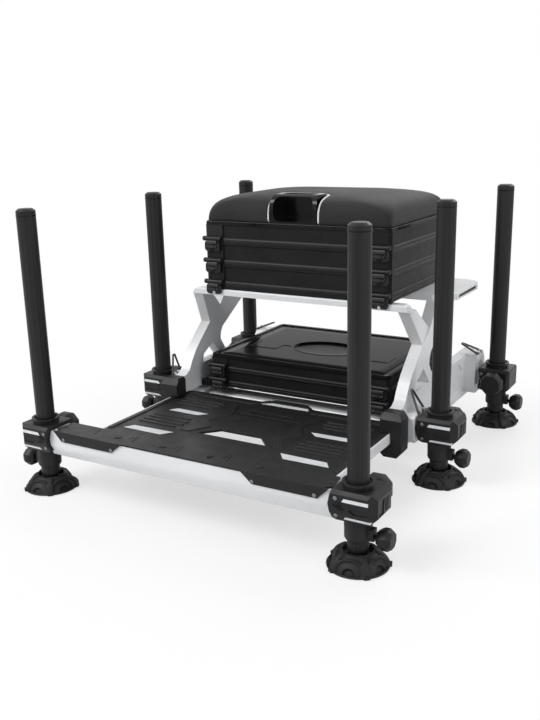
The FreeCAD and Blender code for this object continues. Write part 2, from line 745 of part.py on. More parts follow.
def make_side_frame(side, label, blocks_here):
    inner = side * S.frame_in
    outer = side * (S.frame_in + S.frame_thick)
    low, high = (inner, outer) if side > 0 else (outer, inner)
    deck_under = S.seat_z - S.bar_thick
    shape = [
        (S.waist_y, S.waist_z), (S.waist_y - 37, S.waist_z - 32, 190), (S.rail_front + 24, S.rail_toe + 8),
        (S.rail_front + 10, S.rail_toe), (S.rail_front, S.rail_toe), (S.rail_front, S.rail_low),
        (S.rail_rear, S.rail_low), (S.rail_rear, S.rail_high), (S.notch_y + 26, S.rail_high),
        (S.notch_y - 1, S.notch_z - 78, -40), (S.notch_y + 10, S.notch_z - 49),
        (S.notch_y + 93, S.notch_z + 1), (S.notch_y + 178, deck_under),
        (S.notch_y + 38, deck_under), (S.notch_y, S.notch_z),
    ]
    lower_hole = [
        (S.notch_y - 34, S.notch_z - 78), (S.notch_y - 72, S.notch_z - 98, 60),
        (S.notch_y - 76, S.rail_high), (S.notch_y + 2, S.rail_high),
    ]
    body = prism("frame_plate", "YZ", [shape, lower_hole], low, high)
    lean = side * S.arm_lean
    wide = sorted([inner, outer], key=float)
    arm_low = outline("arm_low", "XY", [rectangle(wide, (S.waist_y, S.notch_y + 32))], S.waist_z)
    top = [edge - lean for edge in wide]
    arm_top = outline("arm_top", "XY", [rectangle(top, (S.arm_y, S.arm_y + S.arm_wide))], deck_under)
    arm = add("Part::Loft", "front_arm")
    arm.Sections = [arm_low, arm_top]
    arm.Solid = True
    arm.Ruled = True
    near = side * (S.frame_in + S.frame_thick - 1)
    body_x = sorted([near, side * (S.leg_x - S.block_in - S.block_nose - 1)], key=float)
    mid = prism("cast_mid", "YZ", [[
        (S.mid_leg_y - 38, S.cast_mid_top - 4), (S.mid_leg_y - 34, S.cast_mid_top),
        (S.mid_leg_y + 36, S.cast_mid_top), (S.mid_leg_y + 40, S.cast_mid_top - 4),
        (S.mid_leg_y + 40, S.block_low + 8), (S.mid_leg_y + 32, S.block_low - 3),
        (S.mid_leg_y - 30, S.block_low - 3), (S.mid_leg_y - 38, S.block_low + 8)]], *body_x)
    rear = prism("cast_rear", "YZ", [[
        (S.leg_y - 42, S.cast_rear_top - 14), (S.leg_y - 30, S.cast_rear_top), (S.leg_y + 16, S.cast_rear_top),
        (S.rail_rear, S.cast_rear_top - 22), (S.rail_rear, S.block_low), (S.leg_y + 18, S.block_low - 10),
        (S.leg_y - 34, S.block_low - 10), (S.leg_y - 42, S.block_low + 2)]], *body_x)
    neck_x = sorted([near, side * (S.leg_x - S.block_in + S.block_nose)], key=float)
    necks = [box("cast_neck", neck_x, (y - 24, y + 24), (S.block_low + 10, S.block_high - 8))
             for y in (S.mid_leg_y, S.leg_y)]
    whole = fuse("frame_solid", [body, arm, mid, rear] + necks)
    names = ("ml", "rl") if side < 0 else ("mr", "rr")
    whole = fuse("frame_saddled", [whole] + [lug for name in names for lug in loop_saddle(name)])
    web = side * (S.frame_in + S.frame_thick - S.frame_web)
    channel_x = sorted([side * (S.frame_in - 1), web], key=float)
    channel = box("frame_channel", channel_x, (S.rail_front - 1, S.rail_rear - 60),
                  (S.channel_low, S.channel_high))
    pocket_x = sorted([outer - side * 2.5, outer + side], key=float)
    pocket = prism("frame_pocket", "YZ", [[
        (S.notch_y + 6, S.rail_high - 12), (S.leg_y - 74, S.rail_high - 12), (S.leg_y - 56, S.rail_high - 30),
        (S.leg_y - 86, S.rail_low + 26), (S.notch_y - 44, S.rail_low + 26), (S.notch_y - 60, S.rail_high - 42)]],
        *pocket_x)
    return keep(cut("side_frame", whole, [channel, pocket] + blocks_here + [loop_eye(n) for n in names]), label)


make_side_frame(-1, "side_frame_left", [clamp_of["ml"][2], clamp_of["rl"][2]])
make_side_frame(1, "side_frame_right", [clamp_of["mr"][2], clamp_of["rr"][2]])


def keepers(top):
    """Keeper studs that the catches of the tray above close over."""
    made = []
    for side in (-1, 1):
        made.append(rod("keeper", S.keeper_r, S.catch_out + 3, side * S.catch_x,
                        S.tray_front - S.catch_out - 2, top - S.keeper_down, "Y"))
    return made


# Seat platform: a front bar with returned ends and a rear deck with rounded rear corners.

def make_platform():
    z = S.seat_z
    under = z - S.bar_thick
    b = S.bar_half
    half = [(b + 7, under), (b + 2, under + 8, 14), (b - 9, z)]
    bar_face = [(u, v, *r) for u, v, *r in half]
    bar_face += [(-(b - 9), z, 14), (-(b + 2), under + 8), (-(b + 7), under)]
    bar = prism("front_bar", "XZ", [bar_face], S.bar_y, S.bar_y + S.bar_deep)
    notch = prism("bar_ease", "YZ", [[
        (S.bar_y - 1, z - 4), (S.bar_y + 4, z + 1), (S.bar_y - 1, z + 1)]], -b - 20, b + 20)
    bar = cut("front_bar_eased", bar, [notch])
    w = S.deck_half
    r = S.deck_round
    plan = [
        (-w + 44, S.deck_front), (w - 44, S.deck_front), (w, S.deck_front + 30), (w, S.deck_rear - r, r),
        (w - r, S.deck_rear), (-w + r, S.deck_rear, r), (-w, S.deck_rear - r), (-w, S.deck_front + 30),
    ]
    slab = prism("deck_slab", "XY", [plan], under, z)
    strips = []
    for side in (-1, 1):
        x = sorted([side * (w - 1.2), side * (w + 1)], key=float)
        strips.append(prism("deck_strip", "YZ", [[
            (S.deck_front + 38, z - 3), (S.deck_front + 34, z - 9), (S.deck_rear - r - 8, z - 9),
            (S.deck_rear - r - 4, z - 3)]], *x))
    deck = cut("rear_deck", slab, strips)
    keep(group("seat_platform", [fuse("front_bar_kept", [bar] + keepers(z)), deck]), "seat_platform")


make_platform()


def make_cross_members():
    """Two bars between the side frames: their ends stay below the footplate's slide rails."""
    end = S.frame_in
    bend = S.slide_in - 3
    low = S.cross_low
    ends = S.channel_low
    high = S.cross_high
    made = []
    for name, y, deep in (("front", S.tray_front + 2, 54), ("rear", S.leg_y - 64, 40)):
        front_view = prism(f"cross_{name}_front", "XZ", [[
            (-end, low), (end, low), (end, ends), (bend, ends), (bend - 6, high), (-bend + 6, high),
            (-bend, ends), (-end, ends)]], y, y + deep)
        side_view = prism(f"cross_{name}_side", "YZ", [[
            (y, low + 3), (y + 3, low), (y + deep - 3, low), (y + deep, low + 3),
            (y + deep, high - 2), (y + deep - 2, high), (y + 4, high), (y, high - 5)]], -end, end)
        made.append(common(f"cross_{name}", [front_view, side_view]))
    return keep(group("cross", made), "cross_members")


make_cross_members()


def make_housings():
    """Slide housings at the front ends of the base rails, each with the ledge that carries the trays."""
    made = []
    rear = S.rail_front
    for side in (-1, 1):
        inner = side * S.house_in
        outer = side * S.house_out
        x = sorted([inner, outer], key=float)
        face = [
            (inner, S.house_low + 8), (inner + side * 8, S.house_low), (outer - side * 10, S.house_low),
            (outer, S.house_low + 12), (outer, S.rail_toe - 12), (outer - side * 9, S.rail_toe),
            (inner + side * 4, S.rail_toe), (inner, S.rail_toe - 6),
        ]
        body = prism("housing_face", "XZ", [face], S.house_front, rear)
        slope = prism("housing_slope", "YZ", [[
            (S.house_front - 1, S.rail_toe - 14), (S.house_front + 12, S.rail_toe + 1),
            (S.house_front - 1, S.rail_toe + 1)]], x[0] - 1, x[1] + 1)
        slot_x = sorted([inner - side, side * (S.slide_out + 2)], key=float)
        slot = box("housing_slot", slot_x, (S.house_front - 1, rear + 1), (S.channel_low, S.channel_high))
        block = cut("housing", body, [slope, slot])
        ledge_x = sorted([side * S.ledge_in, side * S.frame_in], key=float)
        ledge = prism("ledge", "XZ", [[
            (side * S.frame_in, S.channel_high + 0.4), (side * S.ledge_in, S.channel_high + 0.4),
            (side * S.ledge_in, S.low_z - S.stack_gap),
            (side * (S.tray_half + 4), S.low_z - S.stack_gap), (side * (S.tray_half + 4), S.low_z + 9),
            (side * S.frame_in, S.low_z + 9)]],
            S.tray_front + 2, S.tray_front + S.tray_deep)
        made += [block, ledge]
    return keep(group("housings", made), "slide_housings")


make_housings()


# Footplate: cast front beam, black top strip, slide rails and the slotted panel.

def make_beam():
    nose = S.block_nose
    end = S.leg_x - S.block_in
    face = [
        (-end - nose, S.beam_high), (-end - nose, S.beam_low), (end, S.beam_low), (end, S.beam_high),
    ]
    beam = prism("beam_face", "XZ", [face], S.beam_front, S.beam_rear)
    profile = prism("beam_profile", "YZ", [[
        (S.beam_front + 3, S.beam_high), (S.beam_front, S.beam_crease), (S.beam_front + 9, S.beam_low),
        (S.beam_rear, S.beam_low), (S.beam_rear, S.beam_high)]], -end - nose - 1, end + 1)
    solid = cut("beam_solid", common("beam_shape", [beam, profile]), [clamp_of["fl"][2], clamp_of["fr"][2]])
    hollow = box("beam_hollow", (-S.beam_half + 40, S.beam_half - 40),
                 (S.beam_front + 18, S.beam_rear - 10), (S.beam_low - 1, S.beam_high - 8))
    solid = cut("beam_cast", solid, [hollow])
    rails = []
    for side in (-1, 1):
        inner = side * S.slide_in
        outer = side * S.slide_out
        lip = side * (S.panel_half + 0.5)
        face = [(inner, S.slide_low), (outer, S.slide_low), (outer, S.panel_high - 1), (lip, S.panel_high - 1),
                (lip, S.panel_low), (inner, S.panel_low)]
        rails.append(prism("slide_rail", "XZ", [face], S.beam_rear, S.slide_rear))
    return keep(group("footplate_frame", [solid] + rails), "footplate_frame")


make_beam()

LIP = [(128, 0), (294, 0), (274, -20), (151, -20)]


def make_strip():
    """The black strip on the beam, with a lip folded down at each end and low bosses."""
    h = S.strip_half
    low = S.beam_high
    high = low + S.strip_thick
    front = S.beam_front + 2
    plan = [
        (-h + 12, front), (h - 12, front), (h, front + 12), (h - 6, S.beam_rear), (-h + 6, S.beam_rear),
        (-h, front + 12),
    ]
    plate = prism("strip_plate", "XY", [plan], low, high)
    lips = []
    for side in (-1, 1):
        corners = [(side * x, high + z) for x, z in LIP]
        lips.append(prism("strip_lip", "XZ", [corners], front - 2.5, front + 0.5))
    joined = fuse("strip_joined", [plate] + lips)
    below = cut("strip_below", joined, [prism("strip_clear", "YZ", [[
        (S.beam_front + 3, S.beam_high), (S.beam_front, S.beam_crease), (S.beam_front + 9, S.beam_low),
        (S.beam_rear - 1, S.beam_low), (S.beam_rear - 1, S.beam_high)]], -h - 1, h + 1)])
    bosses = []
    for number in range(4):
        bosses.append(rod("strip_boss", 4.5, S.strip_thick + 1, -154.5 + 103 * number, S.beam_rear - 24, low))
    grooves = []
    for number in range(3):
        x = -131 + 104 * number
        grooves.append(prism("strip_groove", "XY", [[
            (x - 4, S.beam_rear - 22), (x + 1, S.beam_rear - 12), (x + 3, S.beam_rear - 12),
            (x - 2, S.beam_rear - 22)]], high - 1, high + 1))
    return keep(cut("strip", fuse("strip_bossed", [below] + bosses), grooves), "beam_top_strip")


make_strip()

# Slots of the panel with white inserts, one side, as (x, y) corners in the panel's own plane.
FRONT_SLOT = [(121, -255), (217, -257), (230, -276), (138, -277)]
REAR_SLOT = [(121, -134), (200, -132), (212, -149), (138, -150)]
CENTRE_SLOT = [(-58, -27), (-36, -14), (50, -14), (60, -27)]
OPEN_MIDDLE = [(-79, -235), (79, -235), (45, -198), (-45, -198)]
OPEN_NARROW = [(-56, -86), (56, -86), (45, -76), (-45, -76)]
OPEN_WIDE = [(-79, -107), (79, -107), (67, -98), (-67, -98)]


def mirrored(points):
    return [(-x, y) for x, y in points]


def make_panel():
    w = S.panel_half
    front = S.beam_rear
    rear = S.panel_rear
    plan = [
        (-w, front), (w, front), (w, rear - 14), (w - 12, rear), (62, rear), (38, rear + 22), (-38, rear + 22),
        (-62, rear), (-w + 12, rear), (-w, rear - 14),
    ]
    slots = [FRONT_SLOT, mirrored(FRONT_SLOT), REAR_SLOT, mirrored(REAR_SLOT), CENTRE_SLOT]
    opened = [OPEN_MIDDLE, OPEN_NARROW, OPEN_WIDE]
    skin = prism("panel_skin", "XY", [plan], S.panel_low, S.panel_skin)
    step = prism("panel_step", "XY", [[
        (-w, front), (w, front), (w, front + 34), (136, front + 54), (98, front + 86), (-98, front + 86),
        (-136, front + 54), (-w, front + 34)]], S.panel_skin - 1, S.panel_high)
    bands = []
    for side in (-1, 1):
        for shape in (
            [(w - 10, front + 60), (w, front + 60), (w, rear - 14), (w - 10, rear - 14)],
            [(98, -238), (118, -238), (92, -196), (72, -196)],
            [(72, -196), (92, -196), (118, -166), (98, -166)],
            [(98, -166), (118, -166), (92, -118), (72, -118)],
            [(72, -118), (92, -118), (112, -60), (92, -60)],
            [(140, -232), (226, -232), (226, -226), (136, -226)],
            [(128, -216), (226, -216), (226, -210), (128, -210)],
            [(128, -200), (226, -200), (226, -194), (128, -194)],
            [(136, -184), (226, -184), (226, -178), (132, -178)],
            [(132, -104), (226, -104), (226, -98), (128, -98)],
            [(124, -88), (226, -88), (226, -82), (124, -82)],
            [(124, -72), (226, -72), (226, -66), (124, -66)],
        ):
            corners = [(side * x, y) for x, y in shape]
            bands.append(prism("panel_band", "XY", [corners], S.panel_skin - 1, S.panel_high))
    rear_band = prism("panel_rear_band", "XY", [[
        (-w + 30, rear - 26), (-70, rear - 26), (-44, rear - 2), (44, rear - 2), (70, rear - 26),
        (w - 30, rear - 26), (w - 30, rear - 18), (74, rear - 18), (48, rear + 8), (-48, rear + 8),
        (-74, rear - 18), (-w + 30, rear - 18)]], S.panel_skin - 1, S.panel_high)
    solid = fuse("panel_solid", [skin, step, rear_band] + bands)
    cutters = [prism("panel_cut", "XY", [shape], S.panel_low - 1, S.panel_high + 1) for shape in slots + opened]
    keep(cut("panel", solid, cutters), "footplate_panel")
    white = [prism("panel_insert", "XY", [shape], S.panel_low, S.panel_skin) for shape in slots]
    both = [clamp_of["fl"][1], clamp_of["fr"][1]]
    keep(group("footplate_inserts", white + both), "footplate_inserts")


make_panel()


# Trays: thin boxes with cast corners, raised bands and rear hinges.

def tray_master(name, high):
    """A tray standing on its own bottom, with its cavity open at the top."""
    w = S.tray_half
    front = S.tray_front
    rear = front + S.tray_deep
    step = S.tray_step
    core = prism(f"{name}_core", "XY", [rounded((-w + step, w - step), (front + step, rear - step), S.tray_round)],
                 0, high)
    castings = []
    for side in (-1, 1):
        for y in ((front, front + S.casting_side), (rear - S.casting_side, rear)):
            x = sorted([side * w, side * (w - S.casting)], key=float)
            near = side * w
            cut_y = y[0] if float(y[0]) == float(front) else y[1]
            inward = 1 if float(y[0]) == float(front) else -1
            castings.append(prism(f"{name}_casting", "XY", [[
                (near, cut_y + inward * 6), (near - side * 6, cut_y), (near - side * S.casting, cut_y),
                (near - side * S.casting, cut_y + inward * S.casting_side),
                (near, cut_y + inward * S.casting_side)]], 0, high))
    beads = []
    b = S.bead
    span = w - S.casting
    for low, tall in ((2, 7), (10, 5)):
        for y, out in ((front + step, -1), (rear - step, 1)):
            beads.append(prism(f"{name}_bead", "YZ", [[
                (y - out, low), (y + out * b * 0.4, low), (y + out * b, low + 1.6),
                (y + out * b, low + tall - 1.6), (y + out * b * 0.4, low + tall), (y - out, low + tall)]],
                -span - 1, span + 1))
        for side in (-1, 1):
            x = side * (w - step)
            beads.append(prism(f"{name}_bead", "XZ", [[
                (x - side, low), (x + side * b * 0.4, low), (x + side * b, low + 1.6),
                (x + side * b, low + tall - 1.6), (x + side * b * 0.4, low + tall), (x - side, low + tall)]],
                front + S.casting_side - 1, rear - S.casting_side + 1))
    solid = fuse(f"{name}_solid", [core] + castings + beads)
    inset = step + S.tray_wall
    cavity = prism(f"{name}_cavity", "XY", [rounded(
        (-w + inset, w - inset), (front + inset, rear - inset), S.tray_round - S.tray_wall)],
        S.tray_floor, high + 1)
    return cut(f"{name}_master", solid, [cavity])


def hinge_parts(top):
    """Knuckles on the tray's foot and, where something hinges above it, the ears and pins at its top."""
    rear = S.tray_front + S.tray_deep
    wall = rear - S.tray_step - 1
    axis = rear + S.hinge_out
    made = []
    half = S.knuckle / 2
    for side in (-1, 1):
        x = side * S.hinge_x
        if top is None:
            plate = prism("knuckle", "YZ", [[
                (wall, 1), (axis, -S.hinge_r + S.run_gap), (axis + S.hinge_r, 0), (axis, 8), (wall, 8)]],
                x - half, x + half)
            ring = rod("knuckle_ring", S.hinge_r, S.knuckle, x - half, axis, 0, "X")
            arm = box("knuckle_arm", (x - half, x + half), (wall, axis), (1, 5))
            hole = rod("knuckle_hole", S.hinge_pin_r + S.run_gap, S.knuckle + 2, x - half - 1, axis, 0, "X")
            made.append(cut("knuckle_cut", fuse("knuckle_solid", [ring, arm]), [hole]))
        else:
            gap = S.run_gap + 0.2
            long = S.knuckle + 2 * gap + 12
            pin = rod("hinge_pin", S.hinge_pin_r, long, x - long / 2, axis, top, "X")
            ears = []
            for end in (-1, 1):
                middle = x + end * (half + gap + 3)
                ears.append(rod("hinge_ear", S.hinge_r, 6, middle - 3, axis, top, "X"))
                ears.append(box("hinge_lug", (middle - 3, middle + 3), (wall, axis), (top - 5, top - 1)))
            made.append(fuse("hinge_pinned", [pin] + ears))
    return made


def catch_ears():
    """Lugs and pivot pins of a tray's two catches, on its front castings."""
    made = []
    front = S.tray_front
    for side in (-1, 1):
        x = side * S.catch_x
        long = S.catch_long - 8
        pin = rod("catch_pin", S.catch_pin_r, long + 10, x - long / 2 - 5, front - S.catch_out, S.catch_up, "X")
        lugs = [box("catch_lug", sorted([x + end * (long / 2 + 0.5), x + end * (long / 2 + 5)], key=float),
                    (front - S.catch_out - S.catch_pin_r - 1, front + 1),
                    (S.catch_up - 3.5, S.catch_up + 3.5)) for end in (-1, 1)]
        made.append(fuse("catch_pinned", [pin] + lugs))
    return made


def make_tray(label, master, high, z, hinged, carries, keeper):
    """A tray of a stack: hinged if its foot hinges below, carries if something hinges on it."""
    extras = catch_ears()
    if hinged:
        extras += hinge_parts(None)
    if carries:
        extras += hinge_parts(high + S.stack_gap / 2)
    if keeper:
        extras += keepers(high)
    tray = fuse("tray", [master] + extras)
    put(tray, 0, 0, z)
    return keep(tray, label)


def catch_master(hang):
    """A tray's pair of front catches: barrel, plate with a keeper slot, and a thumb lip."""
    made = []
    axis_y = S.tray_front - S.catch_out
    for side in (-1, 1):
        x = side * S.catch_x
        half = S.catch_long / 2 - 4
        barrel = rod("catch_barrel", S.catch_r, 2 * half, x - half, axis_y, S.catch_up, "X")
        slot = S.keeper_r + 1
        thick = (axis_y - S.catch_thick / 2, axis_y + S.catch_thick / 2)
        plate = prism("catch_plate", "XZ", [[
            (x - half, S.catch_up), (x - half, S.catch_up - 5), (x - half - 3, S.catch_up - 10),
            (x - half - 3, -hang + 4),
            (x - half + 1, -hang), (x - slot, -hang), (x - slot, -1), (x + slot, -1),
            (x + slot, -hang), (x + half - 1, -hang), (x + half + 3, -hang + 4),
            (x + half + 3, S.catch_up - 10), (x + half, S.catch_up - 5), (x + half, S.catch_up)]], *thick)
        lip = prism("catch_lip", "YZ", [[
            (thick[0], 3), (thick[0] - 3, 0), (thick[0] - 3, -2), (thick[0], -2)]], x - 12, x + 12)
        boss = box("catch_boss", (x - 8, x + 8), (thick[0] - 1.5, axis_y), (5, 11))
        hole = rod("catch_hole", S.catch_pin_r + S.run_gap, 2 * half + 2, x - half - 1, axis_y, S.catch_up, "X")
        made.append(cut("catch", fuse("catch_solid", [barrel, plate, lip, boss]), [hole]))
    return group("catch_master", made)


seat_high = S.seat_pitch - S.stack_gap
low_high = S.low_pitch - S.stack_gap
seat_tray_master = tray_master("seat_tray", seat_high)
low_tray_master = tray_master("low_tray", low_high)
catch_pair = catch_master(S.catch_down)
short_pair = catch_master(S.catch_short)
seat_floor = S.seat_z + S.stack_gap

for number in (1, 2, 3):
    z = seat_floor + (3 - number) * S.seat_pitch
    make_tray(f"seat_tray_{number}", seat_tray_master, seat_high, z, number < 3, True, number > 1)
    keep(copy("catches", catch_pair, 0, 0, z), f"seat_catches_{number}")
for number in (1, 2):
    z = S.low_z + (2 - number) * S.low_pitch
    make_tray(f"lower_tray_{number}", low_tray_master, low_high, z, number < 2, True, number > 1)
    keep(copy("catches", catch_pair if number < 2 else short_pair, 0, 0, z), f"lower_catches_{number}")


def make_lower_lid():
    """Glossy lid of the lower trays: raised border, two sunk fields and an oval finger well."""
    w = S.tray_half - 1
    front = S.tray_front + 1
    rear = S.tray_front + S.tray_deep - 1
    z = S.low_z + 2 * S.low_pitch
    high = S.lid_high
    slab = prism("lid_slab", "XY", [rounded((-w, w), (front, rear), S.tray_round)], 0, high)
    field = prism("lid_field", "XY", [rounded((-w + 22, w - 22), (front + 22, rear - 22), as_size(7))],
                  high - 2, high + 1)
    islands = []
    for x in ((-w + 30, -62), (62, w - 30)):
        islands.append(prism("lid_island", "XY", [rounded(x, (front + 30, rear - 30), as_size(6))],
                             high - 3, high - 0.8))
    well = prism("lid_well", "XY", [rounded((-44, 44), (front + 92, front + 128), as_size(17.5))],
                 2.5, high + 1)
    lid = cut("lid_cut", slab, [field, well])
    lid = fuse("lid", [lid] + islands + hinge_parts(None))
    put(lid, 0, 0, z)
    return keep(lid, "lower_lid")


make_lower_lid()


# Cushion: a padded crown on a base plate whose moulded handle recess shows at the front.

def pad_section(inset, z, corner):
    front = S.tray_front + 1
    rear = S.tray_front + S.tray_deep - 1
    shape = rounded((-S.pad_half + inset, S.pad_half - inset), (front + inset, rear - inset), as_size(corner))
    return outline("pad_section", "XY", [shape], z)


def make_cushion():
    base = seat_floor + 3 * S.seat_pitch
    plate_top = base + S.pad_plate
    front = S.tray_front + 1
    rear = S.tray_front + S.tray_deep - 1
    h = S.pad_high
    levels = [(1.5, 0.0, 30), (0, 0.18, 33), (2, 0.45, 38), (11, 0.73, 46), (34, 0.92, 58), (80, 1.0, 55)]
    crown = add("Part::Loft", "pad_crown")
    crown.Sections = [pad_section(inset, plate_top + share * h, corner) for inset, share, corner in levels]
    crown.Solid = True
    crown.Ruled = True
    r = S.recess_half
    deep = S.tray_front + S.recess_deep
    room = prism("pad_room", "XY", [[
        (-r - 6, front - 5), (r + 6, front - 5), (r, front + 14), (r, deep - 16, 16), (r - 16, deep),
        (-r + 16, deep, 16), (-r, deep - 16), (-r, front + 14)]], plate_top - 1, plate_top + h + 5)
    keep(cut("cushion", crown, [room]), "cushion")

    plate = prism("pad_plate", "XY", [rounded(
        (-S.pad_half - 1, S.pad_half + 1), (front - 1, rear + 1), S.tray_round)], 0, S.pad_plate)
    gap = S.run_gap
    shell = prism("recess_shell", "XY", [[
        (-r - 3.4, front + 1), (r + 3.4, front + 1), (r - gap, front + 14), (r - gap, deep - 16 - gap, 16),
        (r - 16 - gap, deep - gap), (-r + 16 + gap, deep - gap, 16), (-r + gap, deep - 16 - gap),
        (-r + gap, front + 14)]], S.pad_plate - 1, S.pad_plate + h - 1)
    brow = prism("recess_brow", "YZ", [[
        (front - 1, S.pad_plate + h * 0.42), (front + 3, S.pad_plate + h * 0.72, -34),
        (front + 24, S.pad_plate + h), (front - 1, S.pad_plate + h)]], -r - 8, r + 8)
    scoop = prism("recess_scoop", "XZ", [rounded(
        (-r + 6, r - 6), (S.pad_plate + 6, S.pad_plate + h - 5), as_size(15))], front - 6, deep - 9)
    mouth = prism("recess_mouth", "XY", [rounded((-r + 14, r - 14), (front + 22, deep - 8), as_size(9))],
                  S.pad_plate + h - 12, S.pad_plate + h + 6)
    tub = cut("recess_tub", shell, [brow, scoop, mouth])
    whole = fuse("pad_base", [plate, tub] + hinge_parts(None))
    put(whole, 0, 0, base)
    return keep(whole, "cushion_base")


make_cushion()


def make_loop(name):
    """One wire loop, a rounded triangle of eight-sided wire."""
    side, y, inboard, z, lean = LOOPS[name]
    x = side * (S.leg_x - inboard)
    r = S.wire_r
    half = S.loop_half
    tip = S.loop_tip
    run = math.hypot(float(half - tip), float(S.loop_long))
    tilt = math.degrees(math.atan2(float(half - tip), float(S.loop_long)))
    knee = faceted("loop_knee", [(r * 0.42, -r), (r, r * -0.42), (r, r * 0.42), (r * 0.42, r)], 8)
    side_bar = faceted("loop_side", [(r, 0), (r, as_size(run))], 8)
    bridge = faceted("loop_bridge", [(r, -tip), (r, tip)], 8)
    wire = [rod("loop_base", r, 2 * half, 0, -half, 0, "Y"), copy("loop_top", bridge, 0, 0, S.loop_long, TURNS["Y"])]
    for end in (-1, 1):
        wire.append(copy("loop_leg", side_bar, 0, end * half, 0, Rotation(Vector(1, 0, 0), end * tilt)))
        wire.append(copy("loop_corner", knee, 0, end * half, 0))
        wire.append(copy("loop_tip", knee, 0, end * tip, S.loop_long))
    ring = fuse("loop_wire", wire)
    return keep(copy("loop", ring, x, y, z, Rotation(Vector(0, 1, 0), -side * lean)), f"strap_loop_{name}")


for loop_name in LOOPS:
    make_loop(loop_name)

doc.recompute()

for item in doc.Objects:
    if "Invalid" in item.State or "Error" in item.State:
        raise RuntimeError(f"{item.Name} ({item.Label}) failed: {item.State}")
for item in nodes:
    shape = item.Shape
    if shape.isNull() or not shape.isValid() or not shape.Solids:
        raise RuntimeError(f"{item.Label} is not a valid solid")
for item in nodes:
    item.Shape.exportStep(os.path.join("parts", item.Label + ".step"))
print(len(nodes), "nodes,", sum(len(item.Shape.Solids) for item in nodes), "solids")
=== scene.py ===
"""Looks for the fishing seat box: softened castings, padded lid, finishes, studio and camera. Metres."""

import json
import math

import bmesh
import bpy
from mathutils import Matrix, Vector
from mathutils.bvhtree import BVHTree


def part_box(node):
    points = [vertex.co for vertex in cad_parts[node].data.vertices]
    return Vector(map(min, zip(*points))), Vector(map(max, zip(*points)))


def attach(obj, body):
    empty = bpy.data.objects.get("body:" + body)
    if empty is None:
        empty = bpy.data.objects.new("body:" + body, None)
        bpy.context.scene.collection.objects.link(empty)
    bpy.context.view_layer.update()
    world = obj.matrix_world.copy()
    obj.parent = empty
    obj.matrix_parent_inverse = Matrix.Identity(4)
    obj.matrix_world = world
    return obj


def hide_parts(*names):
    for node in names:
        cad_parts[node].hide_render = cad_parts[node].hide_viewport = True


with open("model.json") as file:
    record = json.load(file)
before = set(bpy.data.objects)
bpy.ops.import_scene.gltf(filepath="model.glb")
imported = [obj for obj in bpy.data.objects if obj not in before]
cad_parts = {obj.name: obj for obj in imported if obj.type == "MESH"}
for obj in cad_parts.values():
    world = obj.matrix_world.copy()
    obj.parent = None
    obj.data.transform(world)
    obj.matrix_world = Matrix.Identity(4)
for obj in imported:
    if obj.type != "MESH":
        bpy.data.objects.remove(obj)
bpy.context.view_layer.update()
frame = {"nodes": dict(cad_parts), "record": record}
NODES = frame["nodes"]
BODY_OF = {node: body for body, members in frame["record"]["behaviour"]["bodies"].items() for node in members}
SLOT_OF = {part["node"]: part["material_slot"] for part in frame["record"]["subparts"]}

MM = 0.001
LEGS = ("fl", "fr", "ml", "mr", "rl", "rr")


# Finishes

class Shader:
    """A material under construction: node helpers round one Principled shader."""

    def __init__(self, name):
        self.material = bpy.data.materials.new(name)
        self.material.use_nodes = True
        self.tree = self.material.node_tree
        self.main = self.tree.nodes["Principled BSDF"]
        coordinates = self.tree.nodes.new("ShaderNodeTexCoord")
        self.place = coordinates.outputs["Object"]

    def node(self, kind, **inputs):
        made = self.tree.nodes.new(kind)
        for name, value in inputs.items():
            socket = made.inputs[name.replace("_", " ")]
            if isinstance(value, bpy.types.NodeSocket):
                self.tree.links.new(value, socket)
            else:
                socket.default_value = value
        return made

    def stretched(self, scale):
        return self.node("ShaderNodeMapping", Vector=self.place, Scale=scale).outputs["Vector"]

    def noise(self, scale, detail=4.0, roughness=0.6, place=None):
        made = self.node("ShaderNodeTexNoise", Vector=place or self.place, Scale=scale, Detail=detail,
                         Roughness=roughness)
        return made.outputs["Fac"]

    def between(self, value, low, high, start=0.3, end=0.7):
        made = self.node("ShaderNodeMapRange", Value=value)
        made.inputs["From Min"].default_value = start
        made.inputs["From Max"].default_value = end
        made.inputs["To Min"].default_value = low
        made.inputs["To Max"].default_value = high
        return made.outputs["Result"]

    def tint(self, value, dark, light, start=0.3, end=0.7):
        ramp = self.node("ShaderNodeValToRGB", Fac=value)
        ramp.color_ramp.elements[0].position = start
        ramp.color_ramp.elements[0].color = (*dark, 1)
        ramp.color_ramp.elements[1].position = end
        ramp.color_ramp.elements[1].color = (*light, 1)
        return ramp.outputs["Color"]

    def blend(self, factor, first, second):
        made = self.tree.nodes.new("ShaderNodeMix")
        made.data_type = "RGBA"
        self.tree.links.new(factor, made.inputs["Factor"])
        self.tree.links.new(first, made.inputs[6])
        self.tree.links.new(second, made.inputs[7])
        return made.outputs[2]

    def edges(self, start=0.51, end=0.6):
        """Where the surface is convex, for wear."""
        geometry = self.tree.nodes.new("ShaderNodeNewGeometry")
        return self.between(geometry.outputs["Pointiness"], 0.0, 1.0, start, end)

    def bump(self, height, strength, distance, under=None):
        made = self.node("ShaderNodeBump", Height=height, Strength=strength, Distance=distance)
        if under:
            self.tree.links.new(under, made.inputs["Normal"])
        return made.outputs["Normal"]

    def link(self, name, value):
        self.tree.links.new(value, self.main.inputs[name])

    def fix(self, **values):
        for name, value in values.items():
            self.main.inputs[name.replace("_", " ")].default_value = value


